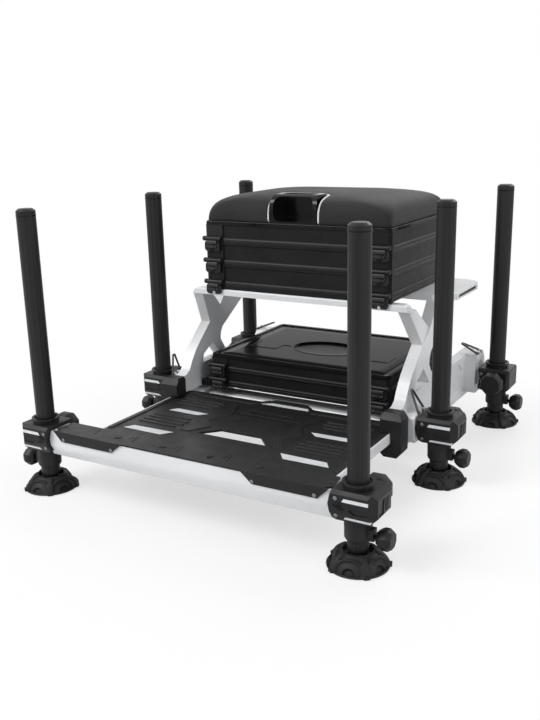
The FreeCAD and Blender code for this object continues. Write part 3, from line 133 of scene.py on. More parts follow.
def white_paint():
    """Glossy white paint on a sand casting: faint orange peel and grime in the recesses."""
    s = Shader("white_paint")
    cloud = s.noise(9.0)
    peel = s.noise(900.0, 2.0)
    ripple = s.noise(60.0, 3.0)
    s.link("Base Color", s.tint(cloud, (0.70, 0.705, 0.715), (0.76, 0.765, 0.77)))
    s.link("Roughness", s.between(ripple, 0.30, 0.42))
    s.link("Normal", s.bump(peel, 0.10, 0.0003, s.bump(ripple, 0.08, 0.001)))
    s.fix(Coat_Weight=0.25, Coat_Roughness=0.12)
    return s.material


def moulding(name, dark, light, rough, grain=1500.0, bump=0.25, shine=0.22):
    """Satin black moulded plastic with a fine spark-eroded grain and paler worn edges."""
    s = Shader(name)
    cloud = s.noise(14.0)
    fine = s.noise(grain, 2.0)
    smear = s.noise(40.0, 5.0)
    body = s.tint(cloud, dark, light)
    worn = s.tint(smear, tuple(c * 1.6 for c in light), tuple(c * 2.4 for c in light))
    s.link("Base Color", s.blend(s.edges(0.53, 0.66), body, worn))
    s.link("Roughness", s.between(smear, rough - 0.07, rough + 0.08))
    s.link("Normal", s.bump(fine, bump, 0.0002))
    s.fix(Specular_IOR_Level=shine)
    return s.material


def black_tube():
    """Black anodised tube drawn lengthwise, with a light satin sheen."""
    s = Shader("black_tube")
    drawn = s.noise(1.0, 6.0, 0.7, s.stretched((900.0, 900.0, 6.0)))
    broad = s.noise(1.0, 3.0, 0.5, s.stretched((260.0, 260.0, 1.5)))
    cloud = s.noise(7.0)
    body = s.tint(cloud, (0.010, 0.010, 0.0105), (0.015, 0.015, 0.016))
    streak = s.tint(broad, (0.006, 0.006, 0.0065), (0.030, 0.030, 0.031))
    s.link("Base Color", s.blend(s.between(drawn, 0.2, 0.8), body, streak))
    s.link("Roughness", s.between(drawn, 0.34, 0.50))
    s.link("Normal", s.bump(broad, 0.25, 0.0004, s.bump(drawn, 0.15, 0.0002)))
    s.fix(Specular_IOR_Level=0.22)
    return s.material


def foot_rubber():
    s = Shader("foot_rubber")
    cloud = s.noise(18.0)
    fine = s.noise(700.0, 3.0)
    dust = s.noise(35.0, 6.0)
    body = s.tint(cloud, (0.009, 0.009, 0.0095), (0.014, 0.014, 0.0145))
    dusty = s.tint(fine, (0.016, 0.016, 0.016), (0.026, 0.0255, 0.025))
    s.link("Base Color", s.blend(s.between(dust, 0.0, 0.5, 0.5, 0.75), body, dusty))
    s.link("Roughness", s.between(dust, 0.45, 0.66))
    s.link("Normal", s.bump(fine, 0.3, 0.0003))
    s.fix(Specular_IOR_Level=0.25)
    return s.material


def black_padding():
    """Black stretch cover: a fine knit weave, a little sheen, faint creases."""
    s = Shader("black_padding")
    over = s.node("ShaderNodeTexWave", Vector=s.place, Scale=520.0)
    over.bands_direction = "X"
    under = s.node("ShaderNodeTexWave", Vector=s.place, Scale=520.0)
    under.bands_direction = "Y"
    cross = s.node("ShaderNodeMath", Value=over.outputs["Fac"])
    cross.operation = "MULTIPLY"
    s.tree.links.new(under.outputs["Fac"], cross.inputs[1])
    crease = s.noise(6.0, 3.0, 0.45)
    cloud = s.noise(10.0)
    thread = s.noise(1200.0, 2.0)
    body = s.tint(cloud, (0.010, 0.010, 0.0105), (0.016, 0.016, 0.0165))
    lint = s.tint(thread, (0.015, 0.015, 0.0155), (0.026, 0.026, 0.0265))
    s.link("Base Color", s.blend(s.between(thread, 0.0, 0.6), body, lint))
    s.link("Roughness", s.between(crease, 0.72, 0.86))
    weave = s.bump(cross.outputs["Value"], 0.35, 0.0003)
    s.link("Normal", s.bump(crease, 0.30, 0.004, weave))
    s.fix(Sheen_Weight=0.15, Sheen_Roughness=0.45, Specular_IOR_Level=0.25)
    return s.material


def black_gloss():
    s = Shader("black_gloss")
    cloud = s.noise(8.0)
    scratch = s.noise(1.0, 5.0, 0.6, s.stretched((30.0, 420.0, 30.0)))
    wave = s.noise(5.0, 2.0)
    s.link("Base Color", s.tint(cloud, (0.004, 0.004, 0.0045), (0.008, 0.008, 0.0085)))
    s.link("Roughness", s.between(scratch, 0.07, 0.18))
    s.link("Normal", s.bump(wave, 0.10, 0.004))
    s.fix(Specular_IOR_Level=0.24)
    return s.material


def lid_gloss():
    """The lower lid's near-black gloss, dulled so that it doesn't mirror the white backdrop."""
    s = Shader("lid_gloss")
    cloud = s.noise(9.0)
    scratch = s.noise(1.0, 5.0, 0.6, s.stretched((24.0, 380.0, 24.0)))
    s.link("Base Color", s.tint(cloud, (0.006, 0.006, 0.0065), (0.010, 0.010, 0.0105)))
    s.link("Roughness", s.between(scratch, 0.10, 0.22))
    s.link("Normal", s.bump(cloud, 0.05, 0.002))
    s.fix(Specular_IOR_Level=0.03)
    return s.material


def pale_inlay():
    """Pale reflective inlay with a very fine prismatic grid."""
    s = Shader("pale_inlay")
    grid = s.node("ShaderNodeTexVoronoi", Vector=s.place, Scale=650.0)
    cloud = s.noise(30.0)
    s.link("Base Color", s.tint(cloud, (0.66, 0.67, 0.68), (0.78, 0.79, 0.80)))
    s.link("Roughness", s.between(grid.outputs["Distance"], 0.22, 0.36, 0.0, 0.6))
    s.link("Normal", s.bump(grid.outputs["Distance"], 0.12, 0.0002))
    return s.material


def dark_wire():
    s = Shader("dark_wire")
    drawn = s.noise(1.0, 4.0, 0.6, s.stretched((400.0, 60.0, 400.0)))
    s.link("Base Color", s.tint(drawn, (0.05, 0.05, 0.052), (0.10, 0.10, 0.104)))
    s.link("Roughness", s.between(drawn, 0.28, 0.42))
    s.link("Normal", s.bump(drawn, 0.2, 0.0002))
    s.fix(Metallic=0.85)
    return s.material


def white_piping():
    s = Shader("white_piping")
    twist = s.node("ShaderNodeTexWave", Vector=s.place, Scale=240.0)
    twist.bands_direction = "DIAGONAL"
    grime = s.noise(60.0)
    s.link("Base Color", s.tint(grime, (0.68, 0.68, 0.67), (0.82, 0.82, 0.81)))
    s.link("Roughness", s.between(grime, 0.45, 0.6))
    s.link("Normal", s.bump(twist.outputs["Fac"], 0.4, 0.0003))
    return s.material


def screw_steel():
    s = Shader("screw_steel")
    turned = s.noise(500.0, 3.0)
    s.link("Base Color", s.tint(turned, (0.16, 0.16, 0.165), (0.34, 0.34, 0.35)))
    s.link("Roughness", s.between(turned, 0.3, 0.45))
    s.link("Normal", s.bump(turned, 0.15, 0.0002))
    s.fix(Metallic=0.6)
    return s.material


FINISH = {
    "white_paint": white_paint(),
    "black_plastic": moulding("black_plastic", (0.010, 0.010, 0.0105), (0.015, 0.015, 0.016), 0.40),
    "tray_plastic": moulding("tray_plastic", (0.010, 0.010, 0.0105), (0.015, 0.015, 0.0155), 0.34, 1100.0, 0.15, 0.11),
    "black_knob": moulding("black_knob", (0.008, 0.008, 0.0085), (0.013, 0.013, 0.0135), 0.42, 900.0, 0.3),
    "black_tube": black_tube(),
    "foot_rubber": foot_rubber(),
    "black_padding": black_padding(),
    "black_gloss": black_gloss(),
    "pale_inlay": pale_inlay(),
    "dark_wire": dark_wire(),
}
LID_GLOSS = lid_gloss()
PIPING = white_piping()
STEEL = screw_steel()


# Building pieces

def place(name, mesh, material, body, slot=None):
    """A new piece of the object, riding on a body."""
    piece = bpy.data.objects.new(name, mesh)
    bpy.context.scene.collection.objects.link(piece)
    mesh.materials.clear()
    mesh.materials.append(material)
    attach(piece, body)
    return piece


def shade(piece, angle=35):
    """Smooth shading that keeps edges sharper than the angle."""
    for face in piece.data.polygons:
        face.use_smooth = True
    piece.data.set_sharp_from_angle(angle=math.radians(angle))


def cleaned(node):
    """A copy of a CAD node's mesh with its triangles joined back into whole faces."""
    mesh = NODES[node].data.copy()
    work = bmesh.new()
    work.from_mesh(mesh)
    bmesh.ops.remove_doubles(work, verts=work.verts, dist=2e-6)
    bmesh.ops.dissolve_limit(work, angle_limit=math.radians(0.8), verts=work.verts, edges=work.edges)
    bmesh.ops.triangulate(work, faces=[face for face in work.faces if len(face.verts) > 4], ngon_method="BEAUTY")
    work.to_mesh(mesh)
    work.free()
    return mesh


def soften(node, width, segments=2, angle=32, smooth=40, finish=None):
    """Stand a bevelled, smooth-shaded copy in place of a CAD node."""
    slot = SLOT_OF[node]
    piece = place(node + "_soft", cleaned(node), finish or FINISH[slot], BODY_OF[node], slot)
    bevel = piece.modifiers.new("bevel", "BEVEL")
    bevel.width = width
    bevel.segments = segments
    bevel.limit_method = "ANGLE"
    bevel.angle_limit = math.radians(angle)
    bevel.use_clamp_overlap = True
    bevel.harden_normals = False
    apply_modifiers(piece)
    shade(piece, smooth)
    normals = piece.modifiers.new("normals", "WEIGHTED_NORMAL")
    normals.keep_sharp = True
    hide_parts(node)
    return piece


def apply_modifiers(piece):
    """Turn a piece's modifiers into plain mesh."""
    graph = bpy.context.evaluated_depsgraph_get()
    graph.update()
    mesh = bpy.data.meshes.new_from_object(piece.evaluated_get(graph))
    piece.modifiers.clear()
    piece.data = mesh


def ring_mesh(name, rings, closed_ends=True):
    """A skin over rings of points that all have the same count."""
    work = bmesh.new()
    rows = [[work.verts.new(point) for point in ring] for ring in rings]
    for lower, upper in zip(rows, rows[1:]):
        for number in range(len(lower)):
            after = (number + 1) % len(lower)
            work.faces.new((lower[number], lower[after], upper[after], upper[number]))
    if closed_ends:
        work.faces.new(list(reversed(rows[0])))
        work.faces.new(rows[-1])
    mesh = bpy.data.meshes.new(name)
    work.to_mesh(mesh)
    work.free()
    return mesh


def rounded_ring(half, front, rear, inset, corner, z, lean=1.0, count=12):
    """Points of a rectangle with round corners, anticlockwise; lean is the front's share of the inset."""
    x = half - inset
    y0 = front + inset * lean
    y1 = rear - inset
    corner = min(corner, x, (y1 - y0) / 2)
    points = []
    for cx, cy, start in ((x, y0, -90), (x, y1, 0), (-x, y1, 90), (-x, y0, 180)):
        px = cx - math.copysign(corner, cx)
        py = cy + corner if cy == y0 else cy - corner
        for number in range(count + 1):
            a = math.radians(start + 90 * number / count)
            points.append(Vector((px + corner * math.cos(a), py + corner * math.sin(a), z)))
    return points


def lathe(name, profile, centre, axis, material, body, sides=32, slot=None):
    """A turned piece: profile of (radius, height) along an axis from a centre."""
    turn = Vector((0, 0, 1)).rotation_difference(Vector(axis)).to_matrix()
    rings = []
    for radius, height in profile:
        ring = []
        for number in range(sides):
            a = 2 * math.pi * number / sides
            ring.append(Vector(centre) + turn @ Vector((radius * math.cos(a), radius * math.sin(a), height)))
        rings.append(ring)
    piece = place(name, ring_mesh(name, rings), material, body, slot)
    shade(piece, 40)
    return piece


def screw(name, centre, axis, radius, body):
    """A domed screw head with a six-sided socket."""
    r = radius
    rings = [(r * 0.95, -0.001), (r, 0.0002), (r * 0.92, r * 0.30), (r * 0.62, r * 0.42)]
    piece = lathe(name, rings, centre, axis, STEEL, body, 24)
    work = bmesh.new()
    work.from_mesh(piece.data)
    work.faces.ensure_lookup_table()
    top = max(work.faces, key=lambda face: (face.calc_center_median() - Vector(centre)).dot(Vector(axis)))
    bmesh.ops.inset_region(work, faces=[top], thickness=r * 0.16)
    bmesh.ops.translate(work, verts=top.verts, vec=-Vector(axis) * r * 0.35)
    work.to_mesh(piece.data)
    work.free()
    shade(piece, 30)
    return piece


def cord_piece(name, points, radius, material, body, slot=None, cyclic=False):
    """A thin round trim along a smooth line."""
    curve = bpy.data.curves.new(name, "CURVE")
    curve.dimensions = "3D"
    curve.bevel_depth = radius
    curve.bevel_resolution = 4
    curve.resolution_u = 8
    spline = curve.splines.new("NURBS")
    spline.points.add(len(points) - 1)
    for slot_point, point in zip(spline.points, points):
        slot_point.co = (*point, 1)
    spline.order_u = 4
    spline.use_endpoint_u = not cyclic
    spline.use_cyclic_u = cyclic
    raw = bpy.data.objects.new(name + "_raw", curve)
    bpy.context.scene.collection.objects.link(raw)
    graph = bpy.context.evaluated_depsgraph_get()
    mesh = bpy.data.meshes.new_from_object(raw.evaluated_get(graph))
    bpy.data.objects.remove(raw)
    piece = place(name, mesh, material, body, slot)
    shade(piece, 60)
    return piece


# The ball-jointed foot

FOOT_SIDES = 200
FOOT_ROWS = 30
FOOT_RIM = 0.0505
FOOT_RIM_HIGH = 0.0045
FOOT_RING = 0.0285
FOOT_BOWL = 0.0245
FOOT_RIBS = 5
FOOT_TURN = 40.0
FOOT_LOWEST = 0.0010


def step(value, start, end):
    """0 before the start, 1 after the end, smooth between."""
    t = min(max((value - start) / (end - start), 0.0), 1.0)
    return t * t * (3 - 2 * t)


def foot_relief(radius, turn, along):
    """How far the foot's skin stands out or in: five ribs with stepped arches between them."""
    sector = 2 * math.pi / FOOT_RIBS
    off = (turn % sector) - sector / 2
    rib = radius * math.sin(sector / 2 - abs(off))
    if along is None:
        return 0.0030 * (1 - step(rib, 0.0044, 0.0058))
    arch = math.hypot(radius * math.sin(off), along)
    sunk = 0.0034 * (1 - step(arch, 0.0215, 0.0228)) + 0.0045 * (1 - step(arch, 0.0105, 0.0115))
    ridge = 0.0010 * step(arch, 0.0228, 0.0236) * (1 - step(arch, 0.0252, 0.0262))
    spandrel = 0.0012 * step(arch, 0.0258, 0.0270)
    bar = 1 - step(rib, 0.0040, 0.0054)
    open_skin = ridge - sunk - spandrel
    return bar * 0.0026 + (1 - bar) * open_skin * (1 - step(along, 0.0300, 0.0330))


def foot_ring(cx, cy, radius, z, along=None, out=0.0, up=0.0):
    """One ring of the foot, its points pushed out and up by shares of the relief there."""
    points = []
    for number in range(FOOT_SIDES):
        turn = 2 * math.pi * number / FOOT_SIDES
        push = foot_relief(radius, turn - math.radians(FOOT_TURN - 90), along) if out else 0.0
        r = radius + push * out
        high = z + push * up
        if out:
            high = max(high, FOOT_LOWEST)
        points.append(Vector((cx + r * math.cos(turn), cy + r * math.sin(turn), high)))
    return points


def make_foot(leg):
    """A dished foot: thin rim, ribbed and arched slope, bowl round the ball."""
    low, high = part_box(f"foot_{leg}")
    cx = (low[0] + high[0]) / 2
    cy = (low[1] + high[1]) / 2
    top = high[2] - 0.0015
    slope = math.hypot(FOOT_RIM - FOOT_RING, top - FOOT_RIM_HIGH)
    rings = [foot_ring(cx, cy, FOOT_RIM - 0.004, 0.0),
             foot_ring(cx, cy, FOOT_RIM + 0.0011, 0.0010, None, 1.0),
             foot_ring(cx, cy, FOOT_RIM + 0.0013, 0.0030, None, 1.0, 1.2),
             foot_ring(cx, cy, FOOT_RIM, FOOT_RIM_HIGH - 0.0006, None, 0.9, 1.0)]
    for number in range(FOOT_ROWS + 1):
        t = number / FOOT_ROWS
        bulge = 0.0022 * math.sin(math.pi * t)
        radius = FOOT_RIM - 0.0006 + (FOOT_RING - FOOT_RIM) * t + bulge
        z = FOOT_RIM_HIGH + (top - FOOT_RIM_HIGH) * t + bulge
        rings.append(foot_ring(cx, cy, radius, z, slope * t, 0.7, 0.7))
    for radius, z in ((FOOT_RING - 0.001, high[2]), (FOOT_BOWL + 0.0008, high[2]), (FOOT_BOWL, high[2] - 0.001),
                      (FOOT_BOWL - 0.0005, 0.0205), (0.0145, 0.0200), (0.0137, 0.0160), (0.0125, 0.0103),
                      (0.0088, 0.0055), (0.0040, 0.0029), (0.0010, 0.0024)):
        rings.append(foot_ring(cx, cy, radius, z))
    piece = place(f"foot_{leg}_soft", ring_mesh(f"foot_{leg}", rings), FINISH["foot_rubber"],
                  BODY_OF[f"foot_{leg}"], SLOT_OF[f"foot_{leg}"])
    shade(piece, 50)
    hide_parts(f"foot_{leg}")
    return piece


# Castings, mouldings and metalwork

# Edge bevels in mm
EASE = {
    "side_frame_left": 1.8, "side_frame_right": 1.8, "seat_platform": 2.2, "cross_members": 1.5,
    "slide_housings": 1.4, "clamp_inserts": 0.25, "clamps_front": 0.8, "clamps_middle": 0.8, "clamps_rear": 0.8,
    "beam_top_strip": 0.8, "footplate_panel": 0.6, "footplate_inserts": 0.4,
}
SOFT = {node: soften(node, width * MM) for node, width in EASE.items()}
SOFT["footplate_frame"] = soften("footplate_frame", 1.6 * MM, smooth=12)
SOFT["cushion_base"] = soften("cushion_base", 1.6 * MM, finish=FINISH["black_gloss"])
for number in (1, 2, 3):
    soften(f"seat_tray_{number}", 0.7 * MM)
    soften(f"seat_catches_{number}", 0.6 * MM)
for number in (1, 2):
    soften(f"lower_tray_{number}", 0.7 * MM)
    soften(f"lower_catches_{number}", 0.6 * MM)
for leg in LEGS:
    soften(f"leg_tube_{leg}", 0.8 * MM, 2, 40)
    soften(f"foot_stem_{leg}", 0.6 * MM, 2, 40)
    make_foot(leg)
    soften(f"clamp_knob_{leg}", 0.9 * MM, 2, 30)
    soften(f"lock_knob_{leg}", 0.8 * MM, 2, 30)
for corner in ("ml", "mr", "rl", "rr"):
    soften(f"strap_loop_{corner}", 0.2 * MM, 1, 60)


# Trim on the castings and mouldings

def surface(piece):
    """A finder of points on a piece's skin."""
    vertices = [vertex.co for vertex in piece.data.vertices]
    return BVHTree.FromPolygons(vertices, [face.vertices for face in piece.data.polygons])


def on_skin(finder, start, direction):
    """Where a line from the start meets the skin, and which way the skin faces there."""
    spot, facing, _, _ = finder.ray_cast(Vector(start), Vector(direction).normalized())
    return spot, facing


def bar(name, section, along, start, end, material, body, slot):
    """A straight moulding: a closed section swept between two places on the X or Y axis."""
    rings = []
    for place_at in (start, end):
        if along == "X":
            rings.append([Vector((place_at, across, up)) for across, up in section])
        else:
            rings.append([Vector((across, place_at, up)) for across, up in section])
    piece = place(name, ring_mesh(name, rings), material, body, slot)
    work = bmesh.new()
    work.from_mesh(piece.data)
    bmesh.ops.recalc_face_normals(work, faces=work.faces)
    work.to_mesh(piece.data)
    work.free()
    shade(piece, 45)
    return piece


def half_round(wall, out, low, tall, count=8):
    """A bulging section that stands out from a wall."""
    points = [(wall - out * 0.4, low)]
    for number in range(count + 1):
        a = math.pi * number / count
        points.append((wall + out * math.sin(a), low + tall * (1 - math.cos(a)) / 2))
    points.append((wall - out * 0.4, low + tall))
    return points


SEAT_FLOOR = 0.3403
LOW_FLOOR = 0.1165
TRAY_BASE = {f"seat_tray_{number}": SEAT_FLOOR + 0.047 * (3 - number) for number in (1, 2, 3)}
TRAY_BASE.update({f"lower_tray_{number}": LOW_FLOOR + 0.033 * (2 - number) for number in (1, 2)})
TRAY_X = 0.215
TRAY_FRONT = 0.023
CASTING_END = 0.1705
SIDE_FRONT = 0.037
SIDE_REAR = 0.329


def tray_bands(node, low, tall):
    """The rounded bands that run round a tray between its corner castings."""
    base = TRAY_BASE[node]
    body = BODY_OF[node]
    paint = FINISH["tray_plastic"]
    slot = SLOT_OF[node]
    front = half_round(TRAY_FRONT, -0.0036, base + low, tall)
    bar(f"{node}_band_front", front, "X", -CASTING_END, CASTING_END, paint, body, slot)
    for side in (-1, 1):
        section = half_round(side * TRAY_X, side * 0.0028, base + low, tall)
        bar(f"{node}_band_{side}", section, "Y", SIDE_FRONT, SIDE_REAR, paint, body, slot)


CATCH_Y = 0.0152
CATCH_UP = 0.017
CATCH_X = 0.196
STUD_X = 0.0165


def catch_trim(node, tray):
    """Domed studs at the ends of both catches, with a thumb pad and a hook between them."""
    base = TRAY_BASE[tray]
    body = BODY_OF[node]
    slot = SLOT_OF[node]
    paint = FINISH[slot]
    stud = [(0.0046, -0.0005), (0.0053, 0.0006), (0.0053, 0.0048), (0.0044, 0.0062), (0.0020, 0.0068)]
    pad = [(CATCH_Y, 0.004), (CATCH_Y - 0.0052, 0.006), (CATCH_Y - 0.0058, 0.0105), (CATCH_Y - 0.0042, 0.0128),
           (CATCH_Y, 0.0128)]
    hook = [(CATCH_Y, -0.0045), (CATCH_Y - 0.0056, -0.0030), (CATCH_Y - 0.0062, 0.0015), (CATCH_Y - 0.0030, 0.0042),
            (CATCH_Y, 0.0042)]
    for side in (-1, 1):
        x = side * CATCH_X
        tag = f"{node}_{side}"
        for end in (-1, 1):
            lathe(f"{tag}_stud_{end}", stud, (x + end * STUD_X, CATCH_Y, base + CATCH_UP), (end, 0, 0), paint, body,
                  24, slot)
        for name, section, half in (("pad", pad, 0.0130), ("hook", hook, 0.0062)):
            raised = [(y, base + z) for y, z in section]
            bar(f"{tag}_{name}", raised, "X", x - half, x + half, paint, body, slot)


for number in (1, 2, 3):
    tray_bands(f"seat_tray_{number}", 0.0062, 0.0125)
    catch_trim(f"seat_catches_{number}", f"seat_tray_{number}")
for number in (1, 2):
    tray_bands(f"lower_tray_{number}", 0.0085, 0.0065)
    catch_trim(f"lower_catches_{number}", f"lower_tray_{number}")


LID_HALF = 0.217
LID_FRONT = 0.021
LID_REAR = 0.345
LID_BASE = LOW_FLOOR + 0.066
LID_WELL = Vector((0.0, 0.173, 0.0))
# Each row of the steps: inset, height over the base, corner radius. Of the oval: half width, half depth, height.
LID_STEPS = ((0.0, 0.0, 0.012), (0.0, 0.0064, 0.012), (0.0005, 0.0074, 0.0115), (0.0018, 0.0080, 0.011),
             (0.0088, 0.0080, 0.009), (0.0096, 0.0074, 0.009), (0.0100, 0.0058, 0.009), (0.0190, 0.0058, 0.006),
             (0.0194, 0.0068, 0.006), (0.0202, 0.0072, 0.006), (0.0400, 0.0072, 0.006))
LID_OVAL = ((0.0840, 0.0600, 0.0072), (0.0835, 0.0595, 0.0079), (0.0800, 0.0560, 0.0079), (0.0790, 0.0550, 0.0070),
            (0.0770, 0.0530, 0.0036), (0.0700, 0.0460, 0.0026), (0.0300, 0.0180, 0.0022))
LID_LINES = (((-0.172, 0.171), (-0.172, 0.120), (-0.104, 0.120), (-0.104, 0.156), (-0.084, 0.156)),
             ((0.172, 0.171), (0.172, 0.120), (0.104, 0.120), (0.104, 0.156), (0.084, 0.156)))


def oval_ring(centre, half_wide, half_deep, z, count=12):
    """Points of an oval, as many and in the same order as a rounded ring's."""
    points = []
    for quarter in range(4):
        for number in range(count + 1):
            a = math.radians(-90 + 90 * quarter + 90 * (number + 0.5) / (count + 1))
            points.append(Vector((centre.x + half_wide * math.cos(a), centre.y + half_deep * math.sin(a), z)))
    return points


def lid_hinge():
    """The CAD lid's knuckles, cut off behind its slab."""
    mesh = cleaned("lower_lid")
    work = bmesh.new()
    work.from_mesh(mesh)
    cut = bmesh.ops.bisect_plane(work, geom=work.verts[:] + work.edges[:] + work.faces[:],
                                 plane_co=(0, LID_REAR - 0.0005, 0), plane_no=(0, 1, 0), clear_inner=True)
    rim = [part for part in cut["geom_cut"] if isinstance(part, bmesh.types.BMEdge)]
    bmesh.ops.holes_fill(work, edges=rim)
    work.to_mesh(mesh)
    work.free()
    return mesh


def lid_groove(name, line, body, slot):
    """A square-cornered dark line on the lid's field."""
    points = []
    for start, end in zip(line, line[1:]):
        for share in (0.0, 0.0, 0.0, 0.33, 0.67, 1.0, 1.0):
            points.append((start[0] + (end[0] - start[0]) * share, start[1] + (end[1] - start[1]) * share,
                           LID_BASE + 0.0071))
    cord_piece(name, points, 0.0013, FINISH["tray_plastic"], body, slot)


def make_lid():
    """The lower lid: eased rim, sunk gutter, raised field and a large oval finger well."""
    body = BODY_OF["lower_lid"]
    slot = SLOT_OF["lower_lid"]
    rings = [rounded_ring(LID_HALF, LID_FRONT, LID_REAR, inset, corner, LID_BASE + up)
             for inset, up, corner in LID_STEPS]
    rings += [oval_ring(LID_WELL, wide, deep, LID_BASE + up) for wide, deep, up in LID_OVAL]
    slab = place("lower_lid_slab", ring_mesh("lower_lid_slab", rings), LID_GLOSS, body, slot)
    shade(slab, 30)
    knuckles = place("lower_lid_hinge_part", lid_hinge(), FINISH["tray_plastic"], body, slot)
    shade(knuckles, 40)
    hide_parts("lower_lid")
    for number, line in enumerate(LID_LINES):
        lid_groove(f"lid_groove_{number}", line, body, slot)


make_lid()


STRIP_INNER = 0.3012
STRIP_OUTER = 0.3030
STRIP_FROM = 0.185
STRIP_TO = 0.296


def deck_strips():
    """The bare dark strips let into the sides of the white deck."""
    finder = surface(SOFT["seat_platform"])
    body = BODY_OF["seat_platform"]
    deck, _ = on_skin(finder, (0.285, 0.24, 0.5), (0, 0, -1))
    for side in (-1, 1):
        inner = side * STRIP_INNER
        outer = side * STRIP_OUTER
        section = [(inner, deck.z - 0.0088), (outer, deck.z - 0.0086), (outer, deck.z - 0.0034),
                   (inner, deck.z - 0.0032)]
        bar(f"deck_strip_{side}", section, "Y", STRIP_FROM, STRIP_TO, FINISH["black_plastic"], body,
            "black_plastic")


deck_strips()


def leg_axis(leg):
    low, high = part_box(f"foot_stem_{leg}")
    return (low[0] + high[0]) / 2, (low[1] + high[1]) / 2


ROW_OF = {"f": "clamps_front", "m": "clamps_middle", "r": "clamps_rear"}


SCREW_IN = 0.0245
SCREW_HEIGHTS = (0.1245, 0.0945)
CAP_SEAM_DOWN = 0.0125


def leg_trim(leg):
    """The two screws of a clamp's inner edge and the rim of the post's cap."""
    x, y = leg_axis(leg)
    side = 1 if x > 0 else -1
    clamps = ROW_OF[leg[0]]
    finder = surface(SOFT[clamps])
    for number, z in enumerate(SCREW_HEIGHTS):
        spot, facing = on_skin(finder, (x - side * SCREW_IN, y - 0.1, z), (0, 1, 0))
        if spot:
            screw(f"clamp_screw_{leg}_{number}", spot, facing, 0.0034, BODY_OF[clamps])
    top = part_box(f"leg_tube_{leg}")[1][2]
    body = BODY_OF[f"leg_tube_{leg}"]
    rim = [(0.0170, -0.0012), (0.0184, -0.0010), (0.0185, 0.0), (0.0184, 0.0010), (0.0170, 0.0012)]
    lathe(f"cap_seam_{leg}", rim, (x, y, top - CAP_SEAM_DOWN), (0, 0, 1), FINISH["black_gloss"], body, 48, "black_tube")
    crown = [(0.0120, -0.0015), (0.0134, -0.0012), (0.0137, -0.0004), (0.0130, 0.0001), (0.0118, -0.0002)]
    lathe(f"cap_crown_{leg}", crown, (x, y, top - 0.0002), (0, 0, 1), FINISH["black_gloss"], body, 40, "black_tube")


for leg in LEGS:
    leg_trim(leg)


STRIP_BOSS_Y = -0.379
LIP_SCREW_Z = 0.1165
STRIP_BOSSES = (-0.286, -0.160, -0.057, 0.049, 0.150, 0.286)
STRIP_SEAMS = (-0.215, -0.124, -0.022, 0.082, 0.185)
LIP_SCREWS = (-0.269, -0.152, 0.152, 0.269)


def strip_trim():
    """Bosses and seams on the beam's black strip, and the screws of its folded lips."""
    finder = surface(SOFT["beam_top_strip"])
    body = BODY_OF["beam_top_strip"]
    slot = SLOT_OF["beam_top_strip"]
    paint = FINISH[slot]
    boss = [(0.0052, -0.0010), (0.0050, 0.0002), (0.0042, 0.0004), (0.0038, 0.0009), (0.0018, 0.0014)]
    for number, x in enumerate(STRIP_BOSSES):
        spot, facing = on_skin(finder, (x, STRIP_BOSS_Y, 0.2), (0, 0, -1))
        lathe(f"strip_boss_{number}", boss, spot, facing, paint, body, 24, slot)
    for number, x in enumerate(STRIP_SEAMS):
        line = [on_skin(finder, (x + 0.006 * t, -0.358 - 0.026 * t, 0.2), (0, 0, -1))[0] for t in (0, 0.33, 0.67, 1)]
        cord_piece(f"strip_seam_{number}", line, 0.0006, FINISH["black_gloss"], body, slot)
    for number, x in enumerate(LIP_SCREWS):
        spot, facing = on_skin(finder, (x, -0.6, LIP_SCREW_Z), (0, 1, 0))
        screw(f"lip_screw_{number}", spot, facing, 0.0036, body)


strip_trim()


# Padded lid

def puff(piece, cap, pressure=4.0, frames=20):
    """Blow a closed form up a little as cloth, with no point moving more than the cap."""
    before = [vertex.co.copy() for vertex in piece.data.vertices]
    scene = bpy.context.scene
    cloth = piece.modifiers.new("cloth", "CLOTH")
    cloth.settings.use_pressure = True
    cloth.settings.uniform_pressure_force = pressure
    cloth.settings.effector_weights.gravity = 0
    cloth.settings.quality = 5
    cloth.point_cache.frame_start = 1
    cloth.point_cache.frame_end = frames
    for number in range(1, frames + 1):
        scene.frame_set(number)
    graph = bpy.context.evaluated_depsgraph_get()
    mesh = bpy.data.meshes.new_from_object(piece.evaluated_get(graph))
    piece.modifiers.clear()
    scene.frame_set(1)
    for vertex, old in zip(mesh.vertices, before):
        move = vertex.co - old
        if move.length > cap:
            vertex.co = old + move * (cap / move.length)
    piece.data = mesh


pad_low, pad_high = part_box("cushion")
PAD_HALF = (pad_high[0] - pad_low[0]) / 2
PAD_FRONT = pad_low[1]
PAD_REAR = pad_high[1]
PAD_BASE = pad_low[2]
PAD_TOP = pad_high[2]
RECESS_HALF = 0.0555
RECESS_DEEP = 0.062
RECESS_CORNER = 0.020
PIPING_OUT = 0.0026
PIPING_BACK = 0.0022
PAD_LEAN = 0.60


# Inset, height over the base and corner radius of the cushion, from its foot to its crown
PAD_SIDE = ((0.0, 0.0005, 0.010), (0.0, 0.004, 0.011), (0.0, 0.010, 0.014), (0.0006, 0.018, 0.018),
            (0.0024, 0.027, 0.024), (0.0070, 0.036, 0.032), (0.0155, 0.0435, 0.042), (0.0290, 0.0490, 0.052),
            (0.0480, 0.0530, 0.060), (0.0720, 0.0562, 0.064), (0.1000, 0.0583, 0.050), (0.1350, 0.0595, 0.020))


